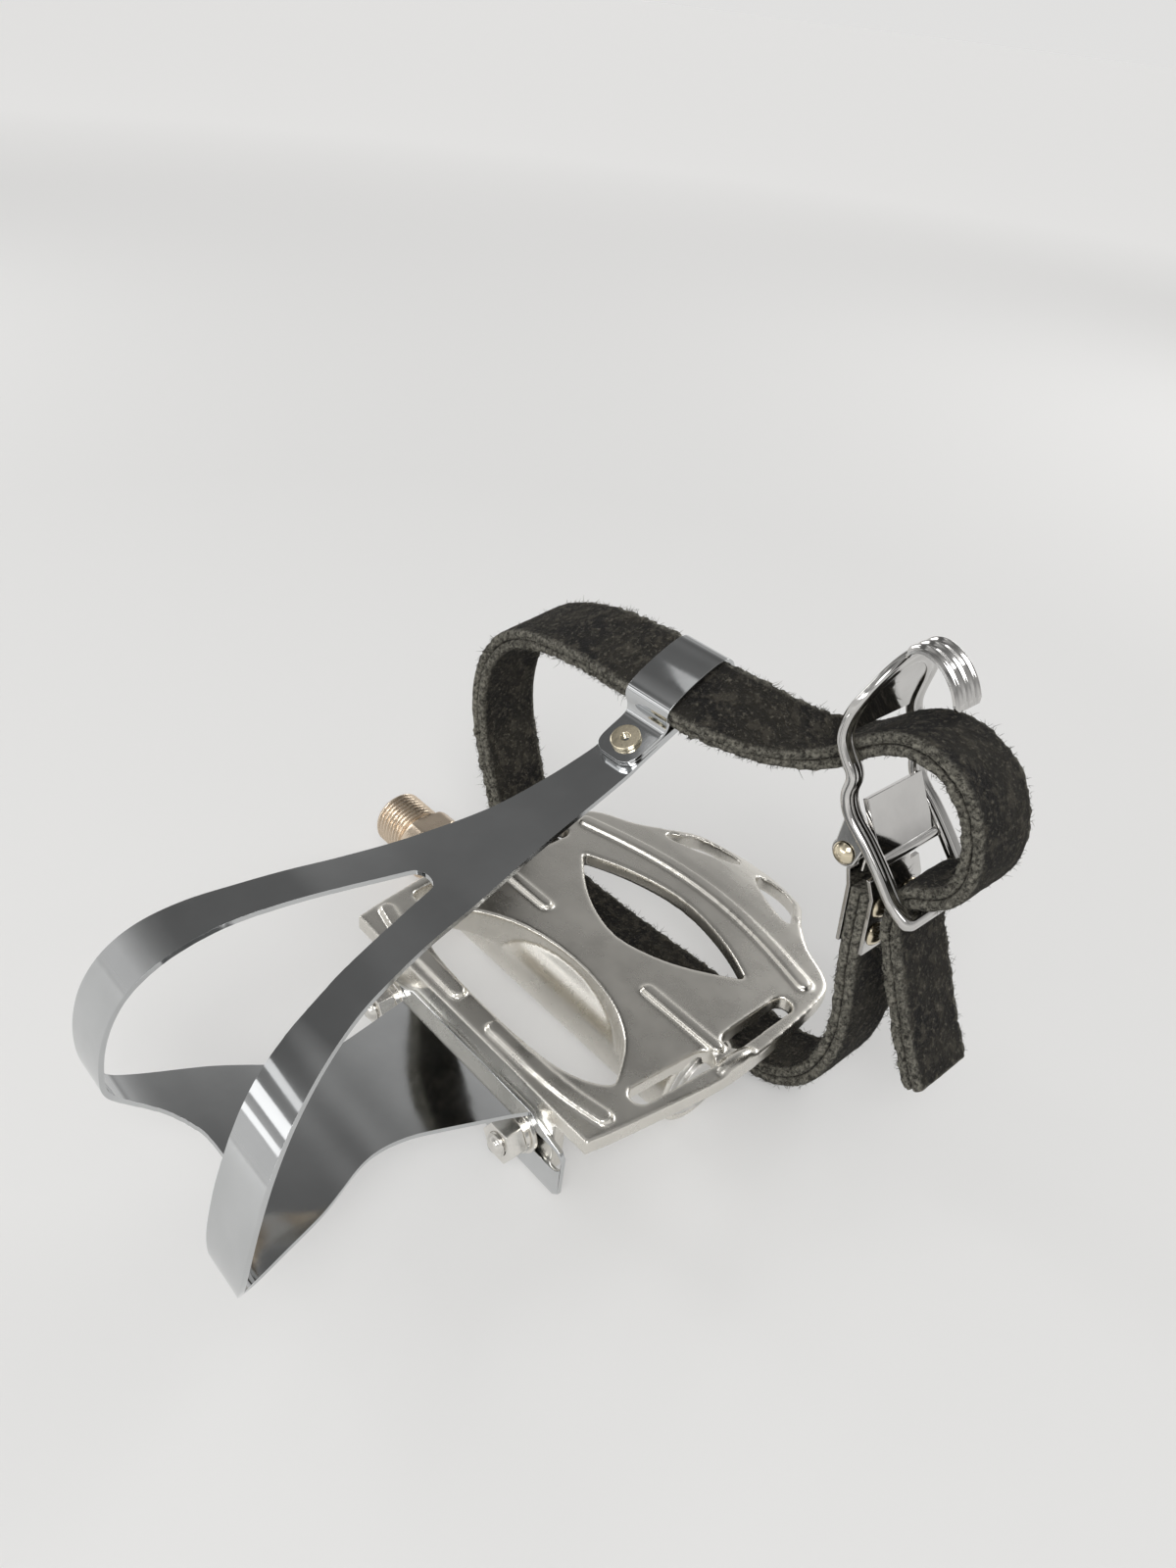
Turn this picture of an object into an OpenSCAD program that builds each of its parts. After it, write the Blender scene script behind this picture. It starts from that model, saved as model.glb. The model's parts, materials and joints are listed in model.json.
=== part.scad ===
// Left platform pedal with a folded toe clip, a leather strap and a cam buckle.
// Millimetres. The origin is where the spindle's thread meets its shoulder, on
// the spindle's axis. +X runs along the spindle towards the crank, +Y towards
// the toe and +Z up from the platform.

/* [Body] */
// Width of the platform across the spindle's ends
body_w = 87; // [80:1:96]
// Height of the platform's top face above the spindle's axis
axle_drop = 11.4; // [11.2:0.1:13]
// Thickness of the cast plate
plate_t = 4; // [3:0.5:6]
// Front edge of the plate, ahead of the spindle's axis
front_y = 36.8; // [34:0.2:39]
// Length of the tail behind the spindle's axis
tail_y = 57; // [54:1:60]
// How far the tail's tip curves down
tail_drop = 5; // [3:0.5:7]
// Height of the raised grip ridges
ridge_h = 1.2; // [0.6:0.1:2]
// Width of the raised grip ridges
ridge_w = 3.4; // [2.4:0.2:4.4]
// Width of the edge band outside the side slots
edge_band = 3.6; // [2.6:0.2:4.6]
// Outer radius of the barrel that holds the bearings
barrel_r = 11; // [10.8:0.1:11.4]
// Distance from the middle of the platform to the spindle's shoulder
shoulder_x = 65; // [62:1:70]
// Thickness of the bolt wall under the front edge
bolt_wall_t = 3.4; // [2.6:0.2:4.4]
// Depth of the bolt wall below the top face
bolt_wall_z = 18; // [17:1:22]

/* [Spindle and bearings] */
// Length of the crank thread
thread_l = 12.7; // [11:0.1:14]
// Major radius of the crank thread
thread_r = 7.14; // [7:0.01:7.3]
// Distance across the wrench flats
wrench_flats = 15; // [14:0.5:17]
// Length of the wrench flats
wrench_l = 6; // [5:0.5:8]
// Radius of the spindle at the inner bearing
shaft_r = 6.2; // [6:0.1:6.4]
// Radius of the spindle at its threaded outer end
shaft_end_r = 4; // [3.5:0.1:4.4]
// Diameter of the bearing balls
ball_d = 3.97; // [3.6:0.01:4.2]
// Radius of the circle that the balls run on
ball_circle_r = 6.7; // [6.6:0.05:6.8]
// Number of balls in each bearing
ball_count = 9; // [7:1:9]
// Gap between a ball and its races
ball_gap = 0.06; // [0.03:0.01:0.1]
// Outer radius of the bearing cups
cup_r = 9.4; // [9.2:0.1:9.8]
// Length of each bearing cup
cup_l = 6; // [5:0.5:7]

/* [Toe clip] */
// Thickness of the clip's sheet
clip_t = 1; // [0.8:0.1:1.4]
// Sideways shift of the clip from the platform's middle, outboard
clip_shift = 4; // [0:0.5:4.5]
// Half width of the bolt flange
flange_half_w = 30; // [29:0.5:33]
// Depth of the bolt flange below the bend
flange_h = 15.5; // [14:0.5:18]
// Distance of each toe clip bolt from the platform's middle
bolt_x = 22; // [20:0.5:23]
// Depth of the toe clip bolts below the top face
bolt_z = 11.6; // [11:0.1:12.5]
// Diameter of the toe clip bolts
bolt_d = 5; // [4:0.5:6]

/* [Strap] */
// Width of the strap
strap_w = 16.4; // [14:0.2:16.6]
// Thickness of the two layers together
strap_t = 4.4; // [3.4:0.2:4.6]

/* [Buckle] */
// Gap between the strap's edge and each cheek of the frame
buckle_gap = 0.8; // [0.7:0.1:1.4]
// Width of each cheek of the frame
cheek_w = 3; // [2:0.2:3.2]
// Thickness of the frame's sheet
frame_t = 1.4; // [1:0.1:1.8]
// Radius of the hinge pin
pin_r = 1.5; // [1.2:0.1:1.8]

/* [Hidden] */
$fn = 64;
eps = 0.01;

// Running and seating gaps
run_gap = 0.06;
seat_gap = 0.3;

// Places along the spindle, measured from the platform's middle
barrel_in_x = body_w / 2 - 5.5;
barrel_out_x = 8.9 - body_w / 2;
inner_race_x = barrel_in_x - 5.6;
outer_race_x = barrel_out_x + 10.6;
spindle_end_x = barrel_out_x + 2;
race_r = ball_d / 2 + ball_gap;
barrel_bore_r = 7.6;

// Place of the whole object's parts that are drawn about the platform's middle
module on_platform() translate([-shoulder_x, 0, axle_drop]) children();

// Turns a shape drawn along +Z at the origin to run along +X on the spindle's axis
module on_axle(x) translate([x, 0, -axle_drop]) rotate([0, 90, 0]) children();

// A ring or disc on the spindle's axis, between two places along it
module disc(x0, x1, r) on_axle(x0) cylinder(r = r, h = x1 - x0);

// Groove that the balls run in
module race(x) on_axle(x) rotate_extrude() translate([ball_circle_r, 0]) circle(r = race_r, $fn = 32);

// One span of a smooth curve that passes through its points
function span(a, b, c, d, t) =
    (2 * b + (c - a) * t + (2 * a - 5 * b + 4 * c - d) * t * t + (3 * b - a - 3 * c + d) * t * t * t) / 2;

// Smooth open curve through a list of points, with n steps between neighbours
function open_curve(p, n) = concat(
    [for (i = [0 : len(p) - 2]) for (k = [0 : n - 1])
        span(p[max(i - 1, 0)], p[i], p[i + 1], p[min(i + 2, len(p) - 1)], k / n)],
    [p[len(p) - 1]]);

// Smooth closed curve through a list of points
function closed_curve(p, n) =
    [for (i = [0 : len(p) - 1]) for (k = [0 : n - 1])
        span(p[(i + len(p) - 1) % len(p)], p[i], p[(i + 1) % len(p)], p[(i + 2) % len(p)], k / n)];

// Right half of an outline, mirrored to the left half
function both_sides(p) = concat(p, [for (i = [len(p) - 1 : -1 : 0]) if (p[i][0] > eps) [-p[i][0], p[i][1]]]);

function unit(v) = v / norm(v);
function step_at(p, i) = unit(p[min(i + 1, len(p) - 1)] - p[max(i - 1, 0)]);

// Faces of a bar that joins rings of four corners, closed at both ends
function bar_faces(rings) = concat(
    [[0, 1, 2, 3]],
    [for (i = [0 : rings - 2]) for (k = [0 : 3])
        [4 * i + k, 4 * (i + 1) + k, 4 * (i + 1) + (k + 1) % 4, 4 * i + (k + 1) % 4]],
    [[4 * rings - 1, 4 * rings - 2, 4 * rings - 3, 4 * rings - 4]]);

// Sheet bent along a path of [y, z, half width], level across X
module bent_sheet(path, thick) {
    rings = [for (i = [0 : len(path) - 1])
        let (d = step_at([for (q = path) [q[0], q[1]]], i), n = [-d[1], d[0]] * thick / 2, q = path[i])
        each [[-q[2], q[0] + n[0], q[1] + n[1]], [q[2], q[0] + n[0], q[1] + n[1]],
              [q[2], q[0] - n[0], q[1] - n[1]], [-q[2], q[0] - n[0], q[1] - n[1]]]];
    polyhedron(points = rings, faces = bar_faces(len(path)), convexity = 10);
}

// Band of even thickness along a flat path
module band(path, thick) {
    n = [for (i = [0 : len(path) - 1]) let (d = step_at(path, i)) [-d[1], d[0]] * thick / 2];
    polygon(concat([for (i = [0 : len(path) - 1]) path[i] + n[i]],
                   [for (i = [len(path) - 1 : -1 : 0]) path[i] - n[i]]));
}

// Outline of a strip with round ends along a path
function round_end(p, d, r) = [for (a = [75 : -15 : -75]) p + r * (cos(a) * d + sin(a) * [-d[1], d[0]])];
function strip_outline(path, r) =
    let (last = len(path) - 1, n = [for (i = [0 : last]) let (d = step_at(path, i)) [-d[1], d[0]] * r])
    concat([for (i = [0 : last]) path[i] + n[i]], round_end(path[last], step_at(path, last), r),
           [for (i = [last : -1 : 0]) path[i] - n[i]], round_end(path[0], -step_at(path, 0), r));

// Platform outline, right half from the front to the tail, and its openings
half_w = body_w / 2;
body_outline = closed_curve(both_sides([
    [0, front_y], [18, front_y], [half_w - 7, front_y], [half_w - 4.6, front_y - 1.6],
    [half_w - 2, 20], [half_w, 5], [half_w, -6], [half_w - 1.2, -20], [half_w - 3, -31.5],
    [half_w - 6.5, -36], [29, -40], [22.5, -45.5], [17.5, -52], [12, 2.2 - tail_y], [5, 0.2 - tail_y],
    [0, -tail_y]]), 4);
rear_opening = closed_curve(both_sides([
    [0, -28.2], [8, -27.4], [17, -25], [24, -22], [26.4, -20.4], [24.6, -18.4], [17, -12.6],
    [9, -8.6], [0, -6.6]]), 3);
front_opening = closed_curve(both_sides([
    [0, 30.6], [10, 30.4], [20, 29.4], [27, 27], [31, 23.6], [30, 21], [24, 13.6], [14, 8.4],
    [0, 6.4]]), 3);
tail_slot = closed_curve([
    [4, -50.4], [8, -47.4], [14, -44.6], [19.6, -43], [20.8, -44.4], [18.4, -47], [15.6, -51],
    [10, -53.6], [5, -53.8], [3.2, -52.2]], 3);
side_slot_x = half_w - edge_band - 2.4;
front_slot = [[side_slot_x - 1.2, 20.6], [side_slot_x, 4]];
rear_slot = [[side_slot_x, -5], [side_slot_x - 0.4, -21]];
slot_r = 2.3;
ridge_front = [[6.4, 33.2], [18, 33], [28, 32.2], [36.2, 30.6]];
ridge_rear = [[-36, -29.4], [-24, -32.6], [-12, -34.8], [0, -35.6], [12, -34.8], [24, -32.6], [36, -29.4]];
tail_bend_y = -41;

// Lip that hangs from the barrel's side of the front opening, deepest in the middle
lip_t = 2.4;
lip_path = open_curve([
    [-30.4, 21.8], [-24, 13.6], [-14, 8.4], [0, 6.4], [14, 8.4], [24, 13.6], [30.4, 21.8]], 4);
lip_depth = [
    [-34, -2.6], [34, -2.6], [31.6, -4.6], [24, -8], [14, -10.6], [0, -11.6], [-14, -10.6], [-24, -8],
    [-31.6, -4.6]];
function beside(path, d) =
    [for (i = [0 : len(path) - 1]) let (t = step_at(path, i)) path[i] + [-t[1], t[0]] * d];
module opening_lip() intersection() {
    translate([0, 0, -barrel_r - 2]) linear_extrude(barrel_r)
        polygon(strip_outline(beside(lip_path, -lip_t / 2), lip_t / 2));
    rotate([90, 0, 0]) translate([0, 0, -front_y]) linear_extrude(front_y) polygon(lip_depth);
}

// Raised ridge with round ends along a path on the plate
module ridge(path, w) {
    translate([0, 0, -plate_t / 2]) linear_extrude(plate_t / 2 + ridge_h)
        polygon(strip_outline(open_curve(path, 4), w / 2));
}

// Plate with the tail curved down
module plate() {
    reach = tail_y + 2 + tail_bend_y;
    drop = [for (i = [0 : 6]) let (t = i / 6) [tail_bend_y - t * reach, -tail_drop * t * t]];
    side = concat([[front_y + 1, 0], [tail_bend_y, 0]], [for (i = [1 : 6]) drop[i]]);
    intersection() {
        translate([0, 0, -tail_drop - plate_t - 1]) linear_extrude(tail_drop + plate_t + 2) difference() {
            polygon(body_outline);
            polygon(rear_opening);
            polygon(front_opening);
            for (s = [0, 1]) mirror([s, 0]) {
                polygon(tail_slot);
                polygon(strip_outline(front_slot, slot_r));
                polygon(strip_outline(rear_slot, slot_r));
            }
        }
        rotate([90, 0, 90]) translate([0, 0, -body_w]) linear_extrude(2 * body_w)
            polygon(concat(side, [for (i = [len(side) - 1 : -1 : 0]) side[i] - [0, plate_t]]));
    }
}

module pedal_body() color("silver") on_platform() difference() {
    union() {
        plate();
        opening_lip();
        for (s = [0, 1]) mirror([s, 0, 0]) {
            ridge(ridge_front, ridge_w);
            ridge([[17, 0], [half_w - 6.4, 0]], ridge_w - 0.6);
        }
        ridge(ridge_rear, ridge_w);
        disc(barrel_out_x, barrel_in_x, barrel_r);
        translate([-bolt_x - 8, front_y - bolt_wall_t, -bolt_wall_z])
            cube([2 * bolt_x + 16, bolt_wall_t, bolt_wall_z - plate_t / 2]);
    }
    disc(barrel_out_x - 1, barrel_in_x + 1, barrel_bore_r);
    disc(inner_race_x - cup_l / 2, barrel_in_x + 1, cup_r);
    disc(barrel_out_x - 1, outer_race_x + cup_l / 2, cup_r);
    for (s = [-1, 1]) translate([s * bolt_x, front_y + 1, -bolt_z]) rotate([90, 0, 0])
        cylinder(d = bolt_d + 2 * seat_gap, h = bolt_wall_t + 2, $fn = 32);
}

module spindle() color("gainsboro") on_platform() {
    neck_x = barrel_in_x + 6;
    difference() {
        union() {
            disc(shoulder_x - eps, shoulder_x + thread_l - 1, thread_r);
            on_axle(shoulder_x + thread_l - 1) cylinder(r1 = thread_r, r2 = thread_r - 1, h = 1);
            intersection() {
                disc(shoulder_x - wrench_l, shoulder_x, wrench_flats / 2 + 1.2);
                translate([shoulder_x - wrench_l - 1, -wrench_flats, -axle_drop - wrench_flats / 2])
                    cube([wrench_l + 2, 2 * wrench_flats, wrench_flats]);
            }
            on_axle(neck_x)
                cylinder(r1 = shaft_r, r2 = wrench_flats / 2 - 0.4, h = shoulder_x - wrench_l - neck_x + eps);
            disc(inner_race_x - cup_l / 2 - 2, neck_x + eps, shaft_r);
            on_axle(inner_race_x - cup_l / 2 - 14) cylinder(r1 = shaft_end_r + 1, r2 = shaft_r, h = 12);
            disc(outer_race_x + cup_l / 2 + 1, inner_race_x - cup_l / 2 - 14 + eps, shaft_end_r + 1);
            disc(spindle_end_x, outer_race_x + cup_l / 2 + 1 + eps, shaft_end_r);
        }
        race(inner_race_x);
    }
}

// Pressed steel cup with the outer half of the ball groove
module cup(x) difference() {
    disc(x - cup_l / 2, x + cup_l / 2, cup_r);
    disc(x - cup_l, x + cup_l, shaft_r + 0.8);
    race(x);
}

module inner_cup() color("dimgray") on_platform() cup(inner_race_x);
module outer_cup() color("dimgray") on_platform() cup(outer_race_x);

module balls(x) for (i = [0 : ball_count - 1]) on_axle(x)
    rotate([0, 0, i * 360 / ball_count]) translate([ball_circle_r, 0, 0]) sphere(d = ball_d, $fn = 32);

module inner_balls() color("lightgray") on_platform() balls(inner_race_x);
module outer_balls() color("lightgray") on_platform() balls(outer_race_x);

module inner_seal() color("black") on_platform() difference() {
    disc(inner_race_x + cup_l / 2, barrel_in_x + 0.6, cup_r);
    disc(inner_race_x, barrel_in_x + 2, shaft_r + run_gap);
}

cone_in_x = outer_race_x + cup_l / 2 + 1;
cone_out_x = outer_race_x - cup_l / 2;
washer_t = 1;
lock_nut_t = 4;

module adjusting_cone() color("gray") on_platform() difference() {
    disc(cone_out_x, cone_in_x, shaft_r - 0.2);
    disc(cone_out_x - 1, cone_in_x + 1, shaft_end_r);
    race(outer_race_x);
}

module tab_washer() color("silver") on_platform() difference() {
    disc(cone_out_x - washer_t, cone_out_x, shaft_r - 0.2);
    disc(cone_out_x - 2, cone_out_x + 1, shaft_end_r);
}

module lock_nut() color("silver") on_platform() difference() {
    on_axle(cone_out_x - washer_t - lock_nut_t) cylinder(r = 6.9, h = lock_nut_t, $fn = 6);
    disc(cone_out_x - washer_t - lock_nut_t - 1, cone_out_x, shaft_end_r);
}

cap_t = 1.4;
cap_nose_r = axle_drop - plate_t - 0.2;
module dust_cap() color("silver") on_platform() difference() {
    union() {
        disc(barrel_out_x - cap_t, barrel_out_x + eps, cap_nose_r);
        disc(barrel_out_x, barrel_out_x + 3, cup_r);
    }
    disc(barrel_out_x + 1, barrel_out_x + 4, cup_r - 1.4);
    on_axle(barrel_out_x - cap_t - 1) cylinder(r = 3.4, h = 2.6, $fn = 6);
}

// Clip centreline seen from the side, with the half width of the outline: [y, z, half width].
// It runs from the strap end of the tongue over the toe to the bend of the bolt flange.
loop_slope = 26.6;
tongue_y = 3;
tongue_z = 56.5;
function along_tongue(u, n) = [tongue_y - u * cos(loop_slope) + n * sin(loop_slope),
                               tongue_z + u * sin(loop_slope) + n * cos(loop_slope)];
tongue_end = 22;
bend_z = 5.6;
flange_y = front_y + clip_t / 2;
rivet_r = 1.6;
rivet_head_r = 2.6;
// The tongue stays flat to just ahead of the rivet's head
flat_end = -rivet_head_r - 0.5;
clip_path = open_curve([
    [along_tongue(tongue_end, 0)[0], along_tongue(tongue_end, 0)[1], 5],
    [along_tongue(9, 0)[0], along_tongue(9, 0)[1], 5],
    [tongue_y, tongue_z, 5],
    [along_tongue(flat_end, 0)[0], along_tongue(flat_end, 0)[1], 5.1],
    [along_tongue(flat_end - 2, 0)[0], along_tongue(flat_end - 2, 0)[1], 5.2],
    [18, 51, 5.9], [30.5, 48, 7.3], [46, 45.7, 10.6], [58, 44.9, 13.4], [67.5, 44.2, 16.3],
    [75.5, 43, 19], [83.5, 40.7, 22.6], [90.5, 36.8, 26], [95.8, 31.4, 28.6],
    [99.6, 24.7, 30.3], [101.8, 17.8, 30.8], [102.6, 12, 30.3], [102.3, 8.2, 29.4],
    [100.4, 5.4, 27.6], [97, 4.3, 25.5], [92.5, 3.5, 23.4], [88, 2.8, 21.6], [83, 2, 19.7],
    [78, 1.2, 17.2], [73.5, 0.4, 14.8], [69.5, -0.2, 13.4], [65, -1, 12.9], [60, -1.8, 13.4],
    [53.5, -2.9, 15.1], [47.5, -3.9, 16.8], [flange_y + 4, 0.7 - bend_z, 18.6], [flange_y, -bend_z, 20]], 3);
// Gap between the two arms, from the notch behind them to the hollow front of the plate
clip_gap = open_curve([
    [49, 45.4, 0.2], [49.6, 45.4, 2], [51, 45.3, 3.1], [54, 45.1, 4], [61, 44.7, 6.2], [72, 43.6, 9.6],
    [79, 42.2, 11.9], [87, 39, 14.3], [93.5, 34, 16.6], [98, 27.8, 18.5], [101.2, 20, 19.5],
    [102.5, 13, 19.6], [102.3, 8.2, 19.8], [100.4, 5.4, 19.4], [97.6, 4.4, 17], [94.8, 3.9, 13.6],
    [92.8, 3.6, 9.8], [91.4, 3.4, 5.4], [91, 3.3, 0.2]], 4);

module toe_clip() color("whitesmoke") on_platform() translate([-clip_shift, 0, 0]) difference() {
    union() {
        bent_sheet(clip_path, clip_t);
        translate([0, flange_y + clip_t / 2, 0]) rotate([90, 0, 0])
            linear_extrude(clip_t) difference() {
            polygon([[-20, clip_t / 2 - bend_z], [20, clip_t / 2 - bend_z], [22, -bend_z - 0.4],
                     [flange_half_w, -bend_z - 3], [flange_half_w, -bend_z - flange_h],
                     [-flange_half_w, -bend_z - flange_h], [-flange_half_w, -bend_z - 3],
                     [-22, -bend_z - 0.4]]);
            for (s = [-1, 1]) polygon(strip_outline(
                [[s * (bolt_x - 7), -bolt_z], [s * (bolt_x + 5), -bolt_z]], bolt_d / 2 + seat_gap));
        }
    }
    bent_sheet(clip_gap, 5);
    translate(concat(0, along_tongue(0, 0))) rotate([-loop_slope, 0, 0])
        cylinder(r = rivet_r, h = 6, center = true, $fn = 32);
}

// Toe clip fasteners, stacked ahead of the flange
washer_h = 1;
spring_washer_h = 1.2;
nut_h = 4;
stack_y = front_y + clip_t;
module at_bolts(y) for (s = [-1, 1]) on_platform()
    translate([s * bolt_x, y, -bolt_z]) rotate([-90, 0, 0]) children();

module clip_bolts() color("silver") at_bolts(front_y - bolt_wall_t) {
    cylinder(d = bolt_d, h = bolt_wall_t + clip_t + washer_h + spring_washer_h + nut_h + 2.4, $fn = 32);
    translate([0, 0, -3.4]) cylinder(r = 4.4, h = 3.4, $fn = 6);
}
module ring(r, hole_r, h) difference() {
    cylinder(r = r, h = h);
    translate([0, 0, -1]) cylinder(r = hole_r, h = h + 2, $fn = 32);
}
module clip_washers() color("silver") at_bolts(stack_y) ring(5, bolt_d / 2 + 0.2, washer_h);
module clip_spring_washers() color("silver") at_bolts(stack_y + washer_h) difference() {
    ring(4.3, bolt_d / 2 + 0.1, spring_washer_h);
    rotate([0, 0, 40]) translate([0, -0.4, -1]) cube([8, 0.8, 4]);
}
module clip_nuts() color("silver") at_bolts(stack_y + washer_h + spring_washer_h) difference() {
    cylinder(r = 4.6, h = nut_h, $fn = 6);
    translate([0, 0, -1]) cylinder(d = bolt_d, h = nut_h + 2, $fn = 32);
}

// Strap loop: one strip folded round the strap and riveted to the tongue's top
strip_t = 0.8;
loop_half_w = 5.2;
loop_low = clip_t / 2 + strip_t / 2 + run_gap;
loop_high = loop_low + strip_t + strap_t + 2 * seat_gap;
loop_front = 6.2;
loop_rear = loop_front + strap_w + 2 * seat_gap + 2 * strip_t;
module on_tongue() on_platform() translate(concat(-clip_shift, [tongue_y, tongue_z]))
    rotate([-loop_slope, 0, 0]) rotate([90, 0, -90]) children();

module strip_box(a, b) translate(a) square(b - a);
module strap_loop() color("whitesmoke") difference() {
    on_tongue() translate([0, 0, -loop_half_w]) linear_extrude(2 * loop_half_w) {
        top = loop_high + strip_t / 2;
        strip_box([-4.6, loop_low - strip_t / 2], [loop_rear, loop_low + strip_t / 2]);
        strip_box([-4.6, loop_low + strip_t / 2], [loop_front + strip_t, loop_low + 3 * strip_t / 2]);
        strip_box([loop_front, loop_low + strip_t / 2], [loop_front + strip_t, top]);
        strip_box([loop_front, top - strip_t], [loop_rear, top]);
        strip_box([loop_rear - strip_t, loop_low - strip_t / 2], [loop_rear, top]);
    }
    on_tongue() rotate([-90, 0, 0]) cylinder(r = rivet_r, h = 20, center = true, $fn = 32);
}

module loop_rivet() color("goldenrod") on_tongue() rotate([-90, 0, 0]) {
    stack = loop_low + 3 * strip_t / 2;
    difference() {
        union() {
            translate([0, 0, -clip_t / 2 - 0.8])
                cylinder(r = rivet_r, h = stack + clip_t / 2 + 1.4, $fn = 32);
            translate([0, 0, stack]) cylinder(r = 3, h = 0.9, $fn = 32);
            translate([0, 0, -clip_t / 2 - 0.9 - run_gap]) cylinder(r = rivet_head_r, h = 0.9, $fn = 32);
        }
        translate([0, 0, -5]) cylinder(r = 0.9, h = 20, $fn = 32);
    }
}

// Folded plate that holds the strap's fixed end
plate_x = -47.6;
plate_top_z = 39.6;
plate_low_z = 26.4;
plate_t2 = 0.8;
plate_knuckle_w = strap_w - 6;
plate_slope = 0.0833;
plate_low_x = plate_x - plate_slope * (plate_top_z - plate_low_z);
plate_gap = strap_t / 2 + plate_t2 / 2 + 0.15;
strap_y = -19;

// Near edge of the strap's middle: [x, y, z, tilt of its width above level towards the rear]
loop_seat = along_tongue(loop_front + strip_t + seat_gap, (loop_low + loop_high) / 2);
strap_points = [
    [plate_x, strap_y, plate_top_z, 0], [-48.4, strap_y, 30, 0], [-49.2, strap_y, 22, 0],
    [-50.8, -18.6, 14, 0], [-51.8, -18.2, 6, 0], [-51, -17.8, -2, 0], [-48, -17.4, -10, 0],
    [-42, -16.8, -15.6, 0], [-33, -16.2, -17.6, 0], [-10, -14.8, -18, 0], [14, -13.6, -18, 0],
    [33, -12.8, -17.4, 0], [42, -12.2, -14.6, 0], [47.6, -11.4, -7, 0], [50.4, -10.4, 3, 0],
    [53.4, -9.4, 13, 0], [56, -8.6, 23, 0], [56.6, -7.8, 33, 2], [54, -7, 43, 4], [48, -6, 51.6, 7],
    [40, -5, 57, 11], [30, -4, 60.2, 16], [18, -2.8, 62.4, 22],
    for (x = [8, 0, -8]) [x - clip_shift, loop_seat[0], loop_seat[1], loop_slope],
    [-20, -4.4, 62.8, 22], [-26, -9, 61.8, 15], [-31.4, -14.6, 62, 7], [-36, -18.4, 64.2, 2],
    [-40.6, strap_y, 68.6, 0], [-46, strap_y, 72, 0], [-52, strap_y, 73, 0], [-58, strap_y, 71.2, 0],
    [-62.6, strap_y, 67, 0], [-65.2, strap_y, 61, 0], [-65.8, strap_y, 54.8, 0], [-64.2, strap_y, 49.8, 0],
    [-61, strap_y, 46.8, 0], [-57.8, strap_y, 45.2, 0], [-55.8, strap_y, 43, 0], [-55.4, strap_y, 40, 0],
    [-55.6, strap_y, 35.6, 0], [-58, strap_y, 29.4, 0],
    [-61.2, strap_y, 22.6, 0], [-65.4, strap_y, 14, 0], [-70.4, strap_y, 5.2, 0]];

module toe_strap() color([0.1, 0.09, 0.08]) difference() {
    on_platform() strap_body();
    at_plate_rivets() cylinder(r = plate_rivet_r, h = 20, center = true, $fn = 32);
}
module strap_body() {
    path = open_curve(strap_points, 3);
    centre = [for (q = path) [q[0], q[1], q[2]]];
    rings = [for (i = [0 : len(path) - 1])
        let (q = centre[i], w = [0, -cos(path[i][3]), sin(path[i][3])] * strap_w,
             n = unit(cross(step_at(centre, i), w)) * strap_t / 2)
        each [q - n, q + n, q + w + n, q + w - n]];
    polyhedron(points = rings, faces = bar_faces(len(path)), convexity = 10);
}

// Buckle, drawn from the side in [x, z] and extruded along Y about the strap's middle
buckle_w = strap_w + 2 * (buckle_gap + cheek_w);
buckle_y = strap_y - strap_w / 2;
pin_at = [-44.2, 48.6];
module across(w) on_platform() translate([0, buckle_y + w / 2, 0])
    rotate([90, 0, 0]) linear_extrude(w) children();
module pair_across(w, t) for (s = [-1, 1]) translate([0, s * (w - t) / 2, 0]) across(t) children();
module on_pin(w) on_platform() translate([pin_at[0], buckle_y + w / 2, pin_at[1]])
    rotate([90, 0, 0]) children();

arch_r = buckle_w / 2;
arch_z = 86.4 - arch_r;
bar_at = [-59.8, 41.4];
window_z = bar_at[1] + 0.2;
window_top = 70.6;
// Ribbed thumb tab that curls out over the strap's roll
thumb_w = 8;
thumb_side = open_curve([
    [-40.7, 85.4], [-41.8, 87.2], [-44.4, 88], [-48, 86.8], [-51, 84], [-52.8, 80.6]], 3);
frame_side = open_curve([
    [-40.9, 87], [-39.6, 81], [-37.9, 75.5], [-37.4, 70.5], [-39.2, 67], [-41.6, 64], [-41.3, 60],
    [-43.2, 56.2], [-47.6, 52.6], [-51.6, 48.8], [-56, 44.2], bar_at], 4);

module buckle_frame() color("whitesmoke") difference() {
    union() {
        intersection() {
            across(buckle_w) band(frame_side, frame_t);
            on_platform() translate([-80, buckle_y, 0]) rotate([90, 0, 90])
                linear_extrude(60) difference() {
                union() {
                    translate([0, arch_z]) circle(r = arch_r);
                    translate([-arch_r, bar_at[1]]) square([2 * arch_r, arch_z - bar_at[1]]);
                }
                translate([cheek_w - arch_r, window_z])
                    square([2 * (arch_r - cheek_w), window_top - window_z]);
            }
        }
        across(thumb_w) band(thumb_side, frame_t);
        for (s = [-1 : 1]) translate([0, s * thumb_w / 3, 0])
            across(thumb_w / 7) band(thumb_side, frame_t + 1);
        across(buckle_w) translate(bar_at) circle(r = 1.5, $fn = 32);
        pair_across(buckle_w, frame_t) hull() {
            translate(pin_at) circle(r = pin_r + 1.6, $fn = 32);
            for (p = [[-43.2, 56.2], [-47.6, 52.6]]) translate(p) circle(r = frame_t / 2, $fn = 32);
        }
    }
    on_pin(buckle_w + 2) cylinder(r = pin_r, h = buckle_w + 2, $fn = 32);
}

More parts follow.
